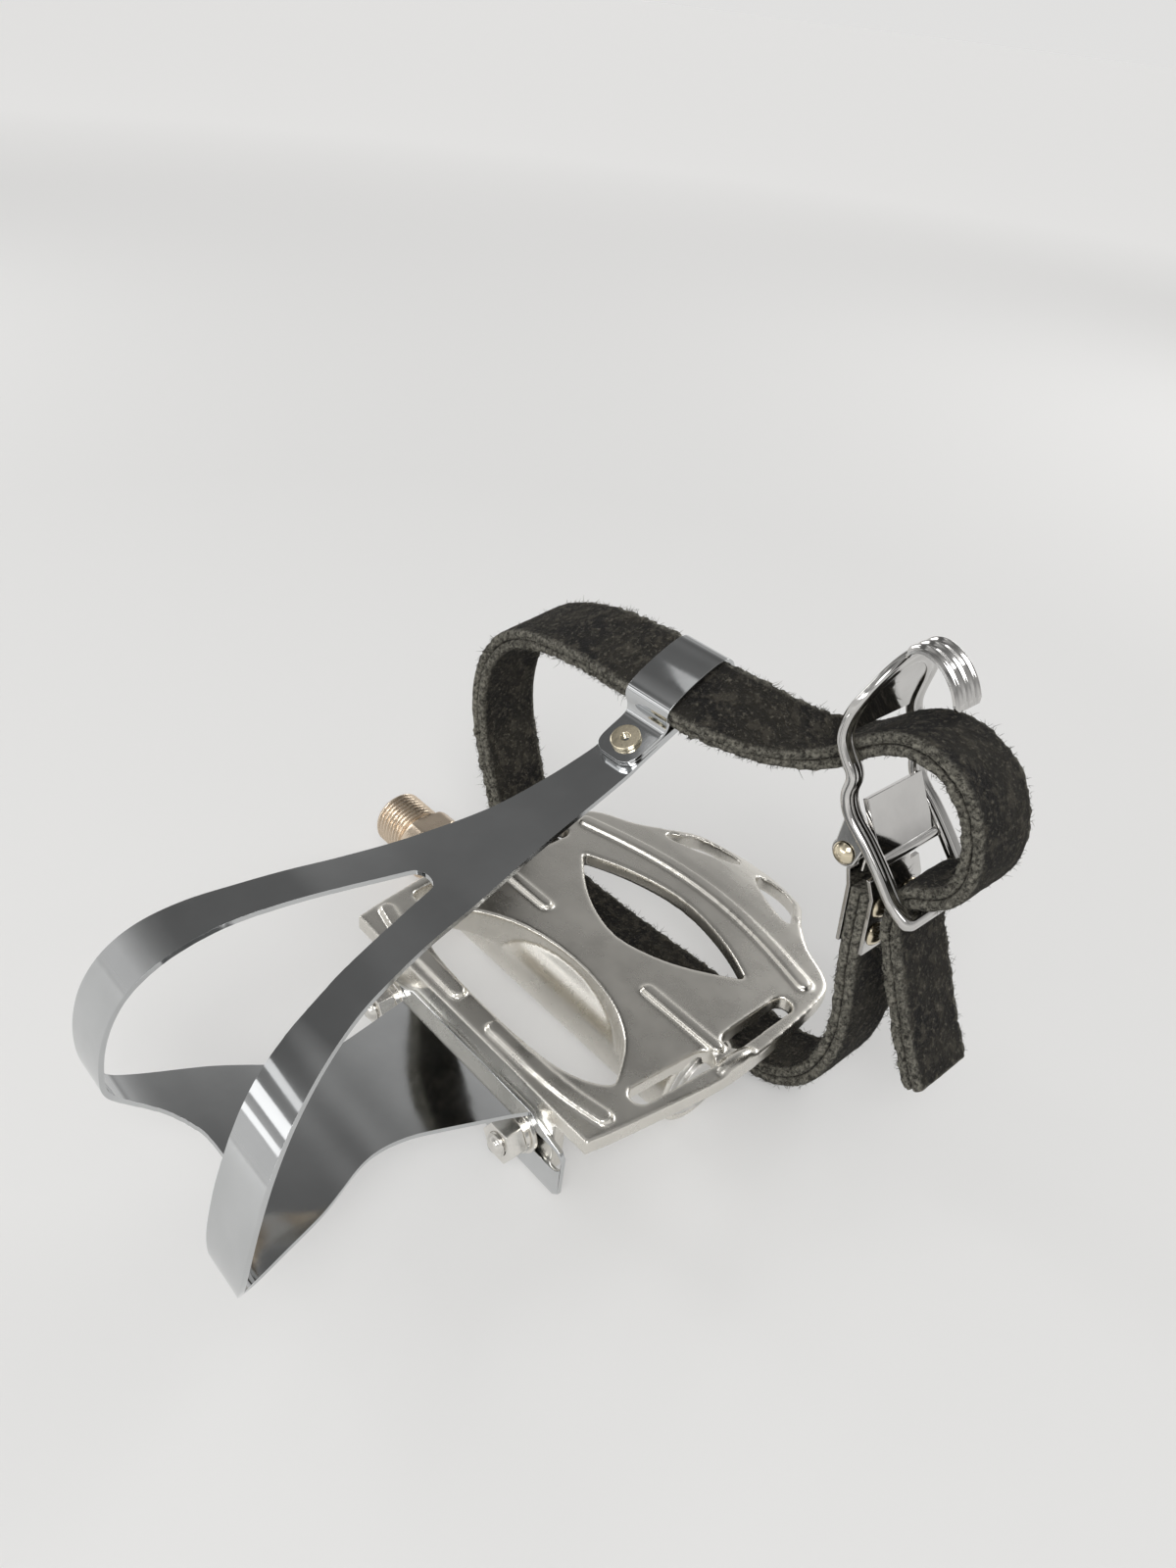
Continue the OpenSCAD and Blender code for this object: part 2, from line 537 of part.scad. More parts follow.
module buckle_pin() color("gold") {
    on_pin(buckle_w + 1) cylinder(r = pin_r, h = buckle_w + 1, $fn = 32);
    for (s = [0, 1]) on_platform() translate([pin_at[0], buckle_y, pin_at[1]]) mirror([0, s, 0])
        translate([0, buckle_w / 2, 0]) rotate([-90, 0, 0]) rotate_extrude() intersection() {
            translate([0, -1.2]) circle(r = 2.6);
            square([3, 2]);
        }
}

// Folded plate that holds the strap's fixed end and turns round the pin
module hinge_plate() color("whitesmoke") difference() {
    union() {
        intersection() {
            across(strap_w - 0.4) plate_side();
            across(strap_w) translate([-60, 20]) square([40, plate_top_z + 3.4 - 20]);
        }
        across(plate_knuckle_w) plate_side();
    }
    at_plate_rivets() cylinder(r = plate_rivet_r, h = 20, center = true, $fn = 32);
}
module plate_side() {
    loop_r = pin_r + run_gap + plate_t2 / 2;
    turn = [for (a = [150 : -30 : -30]) pin_at + loop_r * [cos(a), sin(a)]];
    band(concat([[plate_low_x - plate_gap, plate_low_z], [plate_x - plate_gap, plate_top_z], [-48.3, 43.8]],
                turn,
                [[-43.4, 44.6], [plate_x + plate_gap, plate_top_z], [plate_low_x + plate_gap, plate_low_z]]),
         plate_t2);
}

plate_rivet_r = 1.2;
plate_head_r = 2.6;
module at_plate_rivets() for (s = [-1, 1]) for (z = [plate_low_z + 3.6, plate_top_z - 3]) on_platform()
    translate([plate_x - plate_slope * (plate_top_z - z), buckle_y + s * (strap_w / 2 - 3.6), z])
        rotate([0, 90 + atan(plate_slope), 0]) children();
module plate_rivets() color("goldenrod") at_plate_rivets() {
    reach = plate_gap + plate_t2 / 2 + run_gap;
    cylinder(r = plate_rivet_r, h = 2 * reach, center = true, $fn = 32);
    for (s = [0, 1]) mirror([0, 0, s]) translate([0, 0, reach - eps]) rotate_extrude() intersection() {
        translate([0, -1.6]) circle(r = 3.05);
        square([4, 3]);
    }
}

// Spring lever that turns on the pin inside the strap's roll
lever_gap = 0.5;
lever_w = strap_w + 2 * (buckle_gap - lever_gap);
lever_t = 1.2;
lever_low = [-50.2, 48.8];
lever_top = [-43.6, 59.2];
arm_w = strap_w;
module buckle_lever() color("whitesmoke") difference() {
    union() {
        across(lever_w) band([lever_top, [-46.6, 54], lever_low], lever_t);
        across(lever_w) translate(lever_low) circle(r = 1.2, $fn = 32);
        pair_across(arm_w, lever_t) hull() {
            translate(pin_at) circle(r = pin_r + 1, $fn = 32);
            translate([-46.6, 54]) circle(r = lever_t / 2, $fn = 32);
            translate([-48, 51.8]) circle(r = lever_t / 2, $fn = 32);
        }
    }
    on_pin(buckle_w) cylinder(r = pin_r + run_gap, h = buckle_w, $fn = 32);
}

// Torsion spring on the pin, between the knuckle of the plate and the lever's arm:
// three turns side by side, with one straight leg that rests above the plate
spring_wire_r = 0.3;
spring_step = 0.5;
module lever_spring() color("silver") {
    coil_r = pin_r + 0.15 + spring_wire_r;
    first = plate_knuckle_w / 2 + 0.1 + spring_wire_r;
    for (i = [0 : 2]) on_pin(2 * (first + i * spring_step)) rotate_extrude()
        translate([coil_r, 0]) circle(r = spring_wire_r, $fn = 16);
    on_platform() translate([pin_at[0] - coil_r, buckle_y + first + 2 * spring_step, plate_top_z + 3.8])
        cylinder(r = spring_wire_r, h = pin_at[1] - plate_top_z - 3.8, $fn = 16);
}

pedal_body();
spindle();
inner_cup();
outer_cup();
inner_balls();
outer_balls();
inner_seal();
adjusting_cone();
tab_washer();
lock_nut();
dust_cap();
toe_clip();
clip_bolts();
clip_washers();
clip_spring_washers();
clip_nuts();
strap_loop();
loop_rivet();
toe_strap();
buckle_frame();
buckle_pin();
hinge_plate();
plate_rivets();
buckle_lever();
lever_spring();
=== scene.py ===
import json
import math
import random

import bmesh
import bpy
import numpy as np
from mathutils import Matrix, Vector, noise


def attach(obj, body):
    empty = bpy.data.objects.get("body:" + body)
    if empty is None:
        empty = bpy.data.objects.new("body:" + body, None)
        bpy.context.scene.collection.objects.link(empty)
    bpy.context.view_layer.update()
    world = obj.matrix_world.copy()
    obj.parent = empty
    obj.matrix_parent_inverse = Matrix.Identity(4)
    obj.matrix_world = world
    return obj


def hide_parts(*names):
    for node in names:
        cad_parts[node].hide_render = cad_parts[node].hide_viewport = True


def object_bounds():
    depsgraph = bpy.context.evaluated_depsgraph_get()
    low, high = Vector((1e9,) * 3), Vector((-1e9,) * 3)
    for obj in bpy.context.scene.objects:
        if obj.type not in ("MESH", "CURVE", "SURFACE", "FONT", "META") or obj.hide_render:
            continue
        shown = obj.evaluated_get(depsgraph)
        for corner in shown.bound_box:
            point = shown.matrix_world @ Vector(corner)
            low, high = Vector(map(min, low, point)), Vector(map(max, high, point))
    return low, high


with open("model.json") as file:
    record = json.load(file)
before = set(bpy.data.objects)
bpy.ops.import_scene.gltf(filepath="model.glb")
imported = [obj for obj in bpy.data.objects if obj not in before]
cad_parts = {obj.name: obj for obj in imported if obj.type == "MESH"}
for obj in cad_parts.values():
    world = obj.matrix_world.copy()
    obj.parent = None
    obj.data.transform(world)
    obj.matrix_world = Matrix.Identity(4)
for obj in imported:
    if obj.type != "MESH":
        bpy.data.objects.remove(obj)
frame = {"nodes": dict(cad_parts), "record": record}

CAD_BOX = [list(c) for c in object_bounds()]
MM = 0.001
# The platform's middle, on its top face, in the row frame (mm)
PLATFORM = np.array([-65.0, 0.0, 11.4])
NODES = frame["nodes"]
rng = random.Random(7)


def row(points):
    """Points drawn about the platform's middle in mm, as row frame points in metres."""
    return (np.asarray(points, float) + PLATFORM) * MM


# ------------------------------------------------------------------ camera
# The camera's turn (axis times angle), its place in metres and its focal length in the photograph's
# pixels, all fitted to the platform and the crank thread
CAMERA_TURN = (1.102165, -2.289649, 1.273371)
CAMERA_PLACE = (-0.1953, 0.1422, 0.1860)
FOCAL_PX, PHOTO_HEIGHT_PX = 1180.712, 1600.0
SENSOR_MM = 36.0


def set_camera():
    """A camera at the photograph's viewing angle."""
    turn = Vector(CAMERA_TURN)
    r = Matrix.Rotation(turn.length, 3, turn.normalized())
    axes = Matrix((r[0], -r[1], -r[2])).transposed()
    data = bpy.data.cameras.new("camera")
    data.sensor_fit = "AUTO"
    data.sensor_width = SENSOR_MM
    data.lens = SENSOR_MM * FOCAL_PX / PHOTO_HEIGHT_PX
    data.clip_start = 0.01
    cam = bpy.data.objects.new("camera", data)
    bpy.context.scene.collection.objects.link(cam)
    cam.matrix_world = Matrix.Translation(CAMERA_PLACE) @ axes.to_4x4()
    bpy.context.scene.camera = cam
    bpy.context.scene.view_settings.view_transform = "Standard"


# --------------------------------------------------------------- materials
class Shader:
    """Small helper that makes nodes and joins them in one material."""

    def __init__(self, name):
        self.mat = bpy.data.materials.new(name)
        self.mat.use_nodes = True
        self.tree = self.mat.node_tree
        self.bsdf = self.tree.nodes["Principled BSDF"]
        coord = self.tree.nodes.new("ShaderNodeTexCoord")
        self.place = coord.outputs["Object"]

    def feed(self, socket, value):
        """Joins a node's output to the socket, or sets the socket's own value."""
        if isinstance(value, bpy.types.NodeSocket):
            self.tree.links.new(value, socket)
        else:
            socket.default_value = value

    def node(self, kind, settings=(), inputs=()):
        n = self.tree.nodes.new(kind)
        for key, value in dict(settings).items():
            setattr(n, key, value)
        for key, value in dict(inputs).items():
            self.feed(n.inputs[key], value)
        return n

    def stretched(self, scale):
        """Object coordinates stretched by scale, for grain that runs one way."""
        return self.node("ShaderNodeMapping", inputs={"Vector": self.place, "Scale": scale}).outputs[0]

    def noise(self, scale, detail=3.0, rough=0.55, place=None):
        n = self.node("ShaderNodeTexNoise", inputs={
            "Vector": place or self.place, "Scale": scale, "Detail": detail, "Roughness": rough})
        return n.outputs["Fac"]

    def span(self, value, lo, hi, to_lo, to_hi):
        return self.node("ShaderNodeMapRange", inputs={
            "Value": value, "From Min": lo, "From Max": hi, "To Min": to_lo, "To Max": to_hi}).outputs[0]

    def mix(self, fac, a, b):
        n = self.node("ShaderNodeMix", settings={"data_type": "RGBA"})
        for key, value in (("Factor", fac), ("A", a), ("B", b)):
            socket = [s for s in n.inputs if s.name == key and s.enabled][0]
            if key != "Factor" and not isinstance(value, bpy.types.NodeSocket):
                value = (*value, 1.0)
            self.feed(socket, value)
        return [s for s in n.outputs if s.enabled][0]

    def maths(self, how, a, b):
        n = self.node("ShaderNodeMath", settings={"operation": how})
        self.feed(n.inputs[0], a)
        self.feed(n.inputs[1], b)
        return n.outputs[0]

    def bump(self, height, strength, distance):
        inputs = {"Height": height, "Strength": strength, "Distance": distance}
        return self.node("ShaderNodeBump", inputs=inputs).outputs[0]

    def set(self, **inputs):
        """Sets the shader's own sockets, with _ for a space in a name, and gives the material."""
        for key, value in inputs.items():
            self.feed(self.bsdf.inputs[key.replace("_", " ")], value)
        return self.mat


# Heights of the bump in metres: grain of metal and rubber, and nap of the leather
GRAIN_DEPTH, NAP_DEPTH = 0.0001, 0.0011


def metal(name, color, rough, patch=60.0, grain=1400.0, bump=0.1, scratch=0.25, edge=0.0):
    """Metal with soft patches, grain and fine scratches, worn bright edges and painted shade in its concave
    corners.
    """
    s = Shader(name)
    dark = [c * 0.86 for c in color]
    light = [min(c * 1.08, 0.97) for c in color]
    tint = s.mix(s.span(s.noise(patch, 4.0), 0.3, 0.7, 0.0, 1.0), dark, light)
    level = s.span(s.noise(patch * 2.3, 5.0, 0.65), 0.3, 0.72, rough[0], rough[1])
    # edge sets the strength of the worn bright edges and of the painted shade in the concave corners
    if edge:
        sharp = s.node("ShaderNodeNewGeometry").outputs["Pointiness"]
        worn = s.span(sharp, 0.5, 0.56, 0.0, edge)
        tint = s.mix(worn, tint, [min(c * 1.22, 0.95) for c in color])
        # Painted shade: the concave corners are darkened to 0.45 of the colour
        painted_shade = s.span(sharp, 0.5, 0.42, 0.0, edge)
        tint = s.mix(painted_shade, tint, [c * 0.45 for c in color])
    lines = s.noise(900.0, 2.0, 0.6, s.stretched((0.06, 1.0, 1.0)))
    across = s.noise(900.0, 2.0, 0.6, s.stretched((1.0, 0.09, 0.5)))
    fine = s.maths("ADD", s.noise(grain, 3.0), s.maths("MULTIPLY", s.maths("ADD", lines, across), scratch))
    normal = s.bump(fine, bump, GRAIN_DEPTH)
    return s.set(Base_Color=tint, Roughness=level, Metallic=1.0, Normal=normal)


def suede(name):
    """Black suede; the mesh's edge attribute brings in the paler fuzz of the cut edges."""
    s = Shader(name)
    edge = s.node("ShaderNodeAttribute", settings={"attribute_name": "edge"}).outputs["Fac"]
    nap = s.noise(1150.0, 6.0, 0.72)
    clump = s.noise(420.0, 5.0, 0.65)
    patch = s.noise(110.0, 4.0, 0.6)
    face = s.mix(s.span(patch, 0.40, 0.60, 0.0, 1.0), (0.006, 0.005, 0.004), (0.024, 0.021, 0.015))
    face = s.mix(s.span(clump, 0.51, 0.61, 0.0, 0.8), face, (0.070, 0.062, 0.047))
    face = s.mix(s.span(nap, 0.55, 0.65, 0.0, 0.8), face, (0.165, 0.150, 0.118))
    cut = s.mix(s.span(nap, 0.40, 0.60, 0.0, 1.0), (0.040, 0.037, 0.030), (0.340, 0.325, 0.270))
    color = s.mix(edge, face, cut)
    hair = s.noise(2600.0, 4.0, 0.7, s.stretched((1.0, 0.35, 0.6)))
    height = s.maths("ADD", s.maths("ADD", nap, clump), s.maths("MULTIPLY", hair, 0.5))
    normal = s.bump(height, 1.0, NAP_DEPTH)
    return s.set(Base_Color=color, Roughness=0.95, Sheen_Weight=0.06, Sheen_Roughness=0.5,
                 Specular_IOR_Level=0.15, Normal=normal)


def rubber(name):
    """Matte black rubber of the seal."""
    s = Shader(name)
    tint = s.mix(s.noise(300.0), (0.012, 0.012, 0.012), (0.04, 0.038, 0.036))
    return s.set(Base_Color=tint, Roughness=s.span(s.noise(500.0), 0.3, 0.7, 0.5, 0.75),
                 Normal=s.bump(s.noise(2500.0), 0.2, GRAIN_DEPTH))


# For each slot: colour, least and most roughness, and where they aren't metal's own: size of the
# patches and of the grain, strength of the bump, the scratches, and the worn edges together with
# the painted shade in the concave corners
METALS = {
    "cast_alloy": ((0.76, 0.735, 0.68), (0.22, 0.34), 45.0, 1100.0, 0.09, 0.25, 0.12),
    "cap_alloy": ((0.68, 0.67, 0.65), (0.25, 0.4)),
    "spindle_steel": ((0.70, 0.585, 0.46), (0.22, 0.38), 120.0, 1500.0, 0.2, 0.3, 0.5),
    "bearing_steel": ((0.55, 0.56, 0.58), (0.12, 0.22)),
    "fastener_steel": ((0.74, 0.72, 0.68), (0.14, 0.3), 200.0, 1600.0, 0.15, 0.3, 0.5),
    "clip_chrome": ((0.575, 0.585, 0.59), (0.035, 0.10), 35.0, 500.0, 0.012, 0.5),
    "buckle_chrome": ((0.585, 0.575, 0.56), (0.05, 0.13), 90.0, 900.0, 0.03, 0.5, 0.4),
    "rivet_brass": ((0.72, 0.64, 0.48), (0.12, 0.26), 200.0, 1600.0, 0.08, 0.3, 0.5)}


def make_materials():
    made = {slot: metal(slot, *looks) for slot, looks in METALS.items()}
    made["seal_rubber"] = rubber("seal_rubber")
    made["strap_leather"] = suede("strap_leather")
    return made


# --------------------------------------------------------------- geometry
def curve_through(points, steps):
    """Catmull-Rom curve through the points, the same one that the solids use."""
    p = np.asarray(points, float)
    out = []
    for i in range(len(p) - 1):
        a, b, c, d = p[max(i - 1, 0)], p[i], p[i + 1], p[min(i + 2, len(p) - 1)]
        for k in range(steps):
            t = k / steps
            out.append((2 * b + (c - a) * t + (2 * a - 5 * b + 4 * c - d) * t * t
                        + (3 * b - a - 3 * c + d) * t ** 3) / 2)
    out.append(p[-1])
    return np.array(out)


def even(curve, step, soft=0.0):
    """The curve at even steps of its length, with its bends softened over soft mm."""
    seg = np.linalg.norm(np.diff(curve[:, :3], axis=0), axis=1)
    s = np.concatenate([[0.0], np.cumsum(seg)])
    n = max(int(round(s[-1] / step)), 2)
    t = np.linspace(0, s[-1], n + 1)
    out = np.stack([np.interp(t, s, curve[:, k]) for k in range(curve.shape[1])], 1)
    if soft > 0:
        reach = int(3 * soft / step)
        w = np.exp(-0.5 * (np.arange(-reach, reach + 1) * step / soft) ** 2)
        w /= w.sum()
        lo = 2 * out[0] - out[reach:0:-1]
        hi = 2 * out[-1] - out[-2:-reach - 2:-1]
        padded = np.concatenate([lo, out, hi])
        out = np.stack([np.convolve(padded[:, k], w, "valid") for k in range(out.shape[1])], 1)
    return out


def tangents(p):
    d = np.gradient(p, axis=0)
    return d / np.linalg.norm(d, axis=1)[:, None]


def make_object(name, verts, faces, slot, body="pedal", stands_for=(), sharp=40.0):
    mesh = bpy.data.meshes.new(name)
    mesh.from_pydata([tuple(v) for v in verts], [], faces)
    mesh.update()
    return dress(bpy.data.objects.new(name, mesh), slot, body, stands_for, sharp)


def dress(obj, slot, body="pedal", stands_for=(), sharp=40.0):
    """Cleans the mesh, gives it its material and body, and hides the nodes it stands for."""
    if obj.name not in bpy.context.scene.collection.objects:
        bpy.context.scene.collection.objects.link(obj)
    bm = bmesh.new()
    bm.from_mesh(obj.data)
    bmesh.ops.remove_doubles(bm, verts=bm.verts, dist=2e-6)
    bmesh.ops.recalc_face_normals(bm, faces=bm.faces)
    bm.to_mesh(obj.data)
    bm.free()
    obj.data.shade_smooth()
    obj.data.set_sharp_from_angle(angle=math.radians(sharp))
    obj.data.materials.clear()
    obj.data.materials.append(MATERIALS[slot])
    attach(obj, body)
    if stands_for:
        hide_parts(*stands_for)
    return obj


def applied(obj):
    """The object's mesh with its modifiers applied."""
    bpy.context.view_layer.update()
    graph = bpy.context.evaluated_depsgraph_get()
    mesh = bpy.data.meshes.new_from_object(obj.evaluated_get(graph))
    obj.modifiers.clear()
    obj.data = mesh
    return obj


def softened(obj, width, segments=2, angle=30.0):
    """The object with edges sharper than angle degrees rounded over width mm."""
    bevel = obj.modifiers.new("bevel", "BEVEL")
    bevel.width = width * MM
    bevel.segments = segments
    bevel.limit_method = "ANGLE"
    bevel.angle_limit = math.radians(angle)
    bevel.harden_normals = True
    return obj


def refined(node, slot, width, body="pedal"):
    """A copy of a CAD node with its flat faces merged and its edges rounded over width mm."""
    mesh = NODES[node].data.copy()
    bm = bmesh.new()
    bm.from_mesh(mesh)
    bmesh.ops.remove_doubles(bm, verts=bm.verts, dist=2e-6)
    bmesh.ops.dissolve_limit(bm, angle_limit=math.radians(0.6), verts=bm.verts, edges=bm.edges)
    bm.to_mesh(mesh)
    bm.free()
    obj = bpy.data.objects.new(node + "_finished", mesh)
    dress(obj, slot, body, (node,), 34.0)
    return softened(obj, width)


def sheet(name, slot, rows, thick, bevel, **more):
    """Sheet metal over a grid of points in mm, given as rows of one length."""
    cols = len(rows[0])
    faces = []
    for i in range(len(rows) - 1):
        for k in range(cols - 1):
            a = i * cols + k
            faces.append((a, a + 1, a + cols + 1, a + cols))
    obj = make_object(name, [row(p) for line in rows for p in line], faces, slot, sharp=50.0, **more)
    solid = obj.modifiers.new("thickness", "SOLIDIFY")
    solid.thickness = thick * MM
    solid.offset = 0.0
    return softened(obj, bevel, 2, 50.0)


def sweep(path, across, up, section, name, slot, closed=False, **more):
    """A bar along path; section gives points (a, b) along the across and up directions."""
    n, m = len(path), len(section[0])
    verts = []
    for i in range(n):
        for a, b in section[i]:
            verts.append(row(path[i] + across[i] * a + up[i] * b))
    faces = []
    for i in range(n if closed else n - 1):
        j = (i + 1) % n
        for k in range(m):
            l = (k + 1) % m
            faces.append((i * m + k, j * m + k, j * m + l, i * m + l))
    if not closed:
        faces.append(tuple(range(m)))
        faces.append(tuple((n - 1) * m + k for k in range(m)))
    return make_object(name, verts, faces, slot, **more)


def lathe(profile, name, slot, twist=None, sides=96, body="pedal", stands_for=(), place=None, sharp=40.0):
    """A turned piece about X: profile is (x, r) in mm; twist(x, r, angle) may change a radius."""
    verts, faces = [], []
    for x, r in profile:
        for k in range(sides):
            a = 2 * math.pi * k / sides
            rr = twist(x, r, a) if twist else r
            p = np.array([x, rr * math.cos(a), rr * math.sin(a)])
            verts.append(place(p) if place else row(p + np.array([0, 0, -AXLE])))
    for i in range(len(profile) - 1):
        for k in range(sides):
            l = (k + 1) % sides
            faces.append((i * sides + k, i * sides + l, (i + 1) * sides + l, (i + 1) * sides + k))
    faces.append(tuple(range(sides)))
    last = (len(profile) - 1) * sides
    faces.append(tuple(last + k for k in range(sides)))
    return make_object(name, verts, faces, slot, body=body, stands_for=stands_for, sharp=sharp)


# Sizes shared with the solids, in mm
AXLE = 11.4
FRONT_Y = 36.8
CLIP_T = 1.0
CLIP_SHIFT = 4.0
BOLT_X, BOLT_Z = 22.0, 11.6
BEND_Z, FLANGE_H, FLANGE_HALF = 5.6, 15.5, 30.0
SLOPE = math.radians(26.6)
TONGUE = (3.0, 56.5)
STRAP_W, STRAP_T, STRAP_Y = 16.4, 4.4, -19.0
BUCKLE_Y = STRAP_Y - STRAP_W / 2
PIN_AT = (-44.2, 48.6)
BAR_AT = (-59.8, 41.4)
WINDOW_TOP = 70.6
THUMB_SIDE = [(-40.7, 85.4), (-41.8, 87.2), (-44.4, 88), (-48, 86.8), (-51, 84), (-52.8, 80.6)]
FRAME_SIDE = [(-40.9, 87), (-39.6, 81), (-37.9, 75.5), (-37.4, 70.5), (-39.2, 67), (-41.6, 64), (-41.3, 60),
              (-43.2, 56.2), (-47.6, 52.6), (-51.6, 48.8), (-56, 44.2), BAR_AT]


def along_tongue(u, n):
    return (TONGUE[0] - u * math.cos(SLOPE) + n * math.sin(SLOPE),
            TONGUE[1] + u * math.sin(SLOPE) + n * math.cos(SLOPE))


# ------------------------------------------------------------------- body
# Lugs on the edge band between the side slots: place and radii of the right one
LUG_AT, LUG_R = (41.9, -0.8, -0.3), (1.9, 5.6, 1.8)
# The body's voxel, rounds of smoothing, share of triangles kept and last rounds of smoothing
VOXEL, ROUNDS, KEPT, LAST_ROUNDS = ((0.32, 14, 0.38, 3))


def build_body():
    """The casting, with the soft edges that its tumbling leaves."""
    mesh = NODES["pedal_body"].data.copy()
    bm = bmesh.new()
    bm.from_mesh(mesh)
    bmesh.ops.remove_doubles(bm, verts=bm.verts, dist=2e-6)
    for side in (-1, 1):
        place = Matrix.Translation(Vector(row((side * LUG_AT[0], *LUG_AT[1:]))))
        place @= Matrix.Diagonal((*(r * MM for r in LUG_R), 1.0))
        bmesh.ops.create_icosphere(bm, subdivisions=4, radius=1.0, matrix=place)
    bm.to_mesh(mesh)
    bm.free()
    obj = bpy.data.objects.new("cast_body", mesh)
    bpy.context.scene.collection.objects.link(obj)
    remesh = obj.modifiers.new("remesh", "REMESH")
    remesh.mode = "VOXEL"
    remesh.voxel_size = VOXEL * MM
    smooth = obj.modifiers.new("smooth", "SMOOTH")
    smooth.factor = 0.5
    smooth.iterations = ROUNDS
    # The flat faces need few triangles
    fewer = obj.modifiers.new("fewer", "DECIMATE")
    fewer.ratio = KEPT
    # Evens out the corners that the thinning leaves along the ridges
    settle = obj.modifiers.new("settle", "SMOOTH")
    settle.factor = 0.5
    settle.iterations = LAST_ROUNDS
    applied(obj)
    obj.data.materials.clear()
    return dress(obj, "cast_alloy", "pedal", ("pedal_body",), 80.0)


# ------------------------------------------------------------------- clip
# The sheet's middle from the tongue's end to the flange's bend: (y, z, half width)
CLIP_PATH = [
    (*along_tongue(22, 0), 5), (*along_tongue(9, 0), 5), (3, 56.5, 5), (*along_tongue(-3.1, 0), 5.1),
    (*along_tongue(-5.1, 0), 5.2), (18, 51, 5.9), (30.5, 48, 7.3), (46, 45.7, 10.6), (58, 44.9, 13.4),
    (67.5, 44.2, 16.3), (75.5, 43, 19), (83.5, 40.7, 22.6), (90.5, 36.8, 26), (95.8, 31.4, 28.6),
    (99.6, 24.7, 30.3), (101.8, 17.8, 30.7), (102.6, 12, 29.9), (102.3, 8.2, 28.2), (100.4, 5.4, 26.3),
    (97, 4.3, 24.9), (92.5, 3.5, 23.2), (88, 2.8, 21.6), (83, 2, 19.7), (78, 1.2, 17.2),
    (73.5, 0.4, 14.8), (69.5, -0.2, 13.4), (65, -1, 12.9), (60, -1.8, 13.4), (53.5, -2.9, 15.1),
    (47.5, -3.9, 16.8), (FRONT_Y + CLIP_T / 2 + 4, 0.7 - BEND_Z, 18.6), (FRONT_Y + CLIP_T / 2, -BEND_Z, 20)]
# The opening between the arms: (y, z, half width)
CLIP_GAP = [
    (49, 45.4, 0), (49.6, 45.4, 2), (51, 45.3, 3.1), (54, 45.1, 4), (61, 44.7, 6.2), (72, 43.6, 9.6),
    (79, 42.2, 11.9), (87, 39, 14.3), (93.5, 34, 16.6), (98, 27.8, 18.5), (101.2, 20, 19.5),
    (102.5, 13, 19.6), (102.3, 8.2, 19.8), (100.4, 5.4, 19.4), (97.6, 4.4, 17), (94.8, 3.9, 13.6),
    (92.8, 3.6, 9.8), (91.4, 3.4, 5.4), (91, 3.3, 0)]


def round_end(d, reach, width):
    """Half width of a round end at d from its tip, which grows to width over reach."""
    return math.sqrt(max(0.0, 1 - (1 - min(d / reach, 1.0)) ** 2)) * width


def build_clip():
    """The folded sheet, from the tongue down the two arms and back to the flange's bend."""
    line = even(curve_through(CLIP_PATH, 12), 0.25, 1.1)
    s = np.concatenate([[0.0], np.cumsum(np.linalg.norm(np.diff(line[:, :2], axis=0), axis=1))])
    gap = curve_through(CLIP_GAP, 10)
    # Where along the sheet each point of the opening lies
    gap_s, last = [], 0
    for y, z, _ in gap:
        window = line[last:last + 60, :2] if last else line[:, :2]
        last += int(np.argmin(np.linalg.norm(window - (y, z), axis=1)))
        gap_s.append(s[last])
    gap_s = np.maximum.accumulate(np.array(gap_s))
    gap_s += np.arange(len(gap_s)) * 1e-4
    s0, s1 = gap_s[0], gap_s[-1]

    def hollow(v):
        if v <= s0 or v >= s1:
            return 0.0
        g = float(np.interp(v, gap_s, gap[:, 2]))
        # Round roots of the opening, at the notch between the arms and at the foot
        if v - s0 < 4.0:
            g = min(g, round_end(v - s0, 3.6, 3.7) + 0.12 * (v - s0))
        if s1 - v < 6.0:
            g = min(g, round_end(s1 - v, 6.5, 18.6))
        return g

    # Stations along the sheet, closer together at the two roots
    stations = set(np.arange(0, s[-1], 0.7).tolist()) | {s[-1], s0, s1}
    for base, sign in ((s0, 1), (s1, -1)):
        for d in (0.03, 0.1, 0.2, 0.35, 0.5, 0.75, 1.05, 1.4, 1.8, 2.3):
            stations.add(base + sign * d)
    stations = sorted(v for v in stations if 0 <= v <= s[-1])
    stations = [v for i, v in enumerate(stations) if i == 0 or v - stations[i - 1] > 0.02]
    cols = 10
    verts, faces = [], []
    for v in stations:
        y, z, w = (float(np.interp(v, s, line[:, k])) for k in range(3))
        g = hollow(v)
        if v < 4.0:
            w = min(w, round_end(v, 4.0, 2.0) + 3.0)
        for side in (-1, 1):
            for k in range(cols + 1):
                t = 0.5 - 0.5 * math.cos(math.pi * k / cols)
                verts.append(row((side * (g + (w - g) * t) - CLIP_SHIFT, y, z)))
    stride = 2 * (cols + 1)
    for i in range(len(stations) - 1):
        for side in (0, 1):
            for k in range(cols):
                a = i * stride + side * (cols + 1) + k
                quad = (a, a + 1, a + 1 + stride, a + stride)
                faces.append(quad if side else quad[::-1])
    clip = make_object("sheet_clip", verts, faces, "clip_chrome", stands_for=("toe_clip",), sharp=50.0)
    thick = clip.modifiers.new("thickness", "SOLIDIFY")
    thick.thickness = CLIP_T * MM
    thick.offset = 0.0
    thick.use_even_offset = True
    softened(clip, 0.22, 2, 50.0)


# Each bolt slot: how far its ends lie inboard and outboard of the bolt, and its half height
SLOT_IN, SLOT_OUT, SLOT_R = 7, 5, 2.8
FLANGE_BEVEL = 0.15


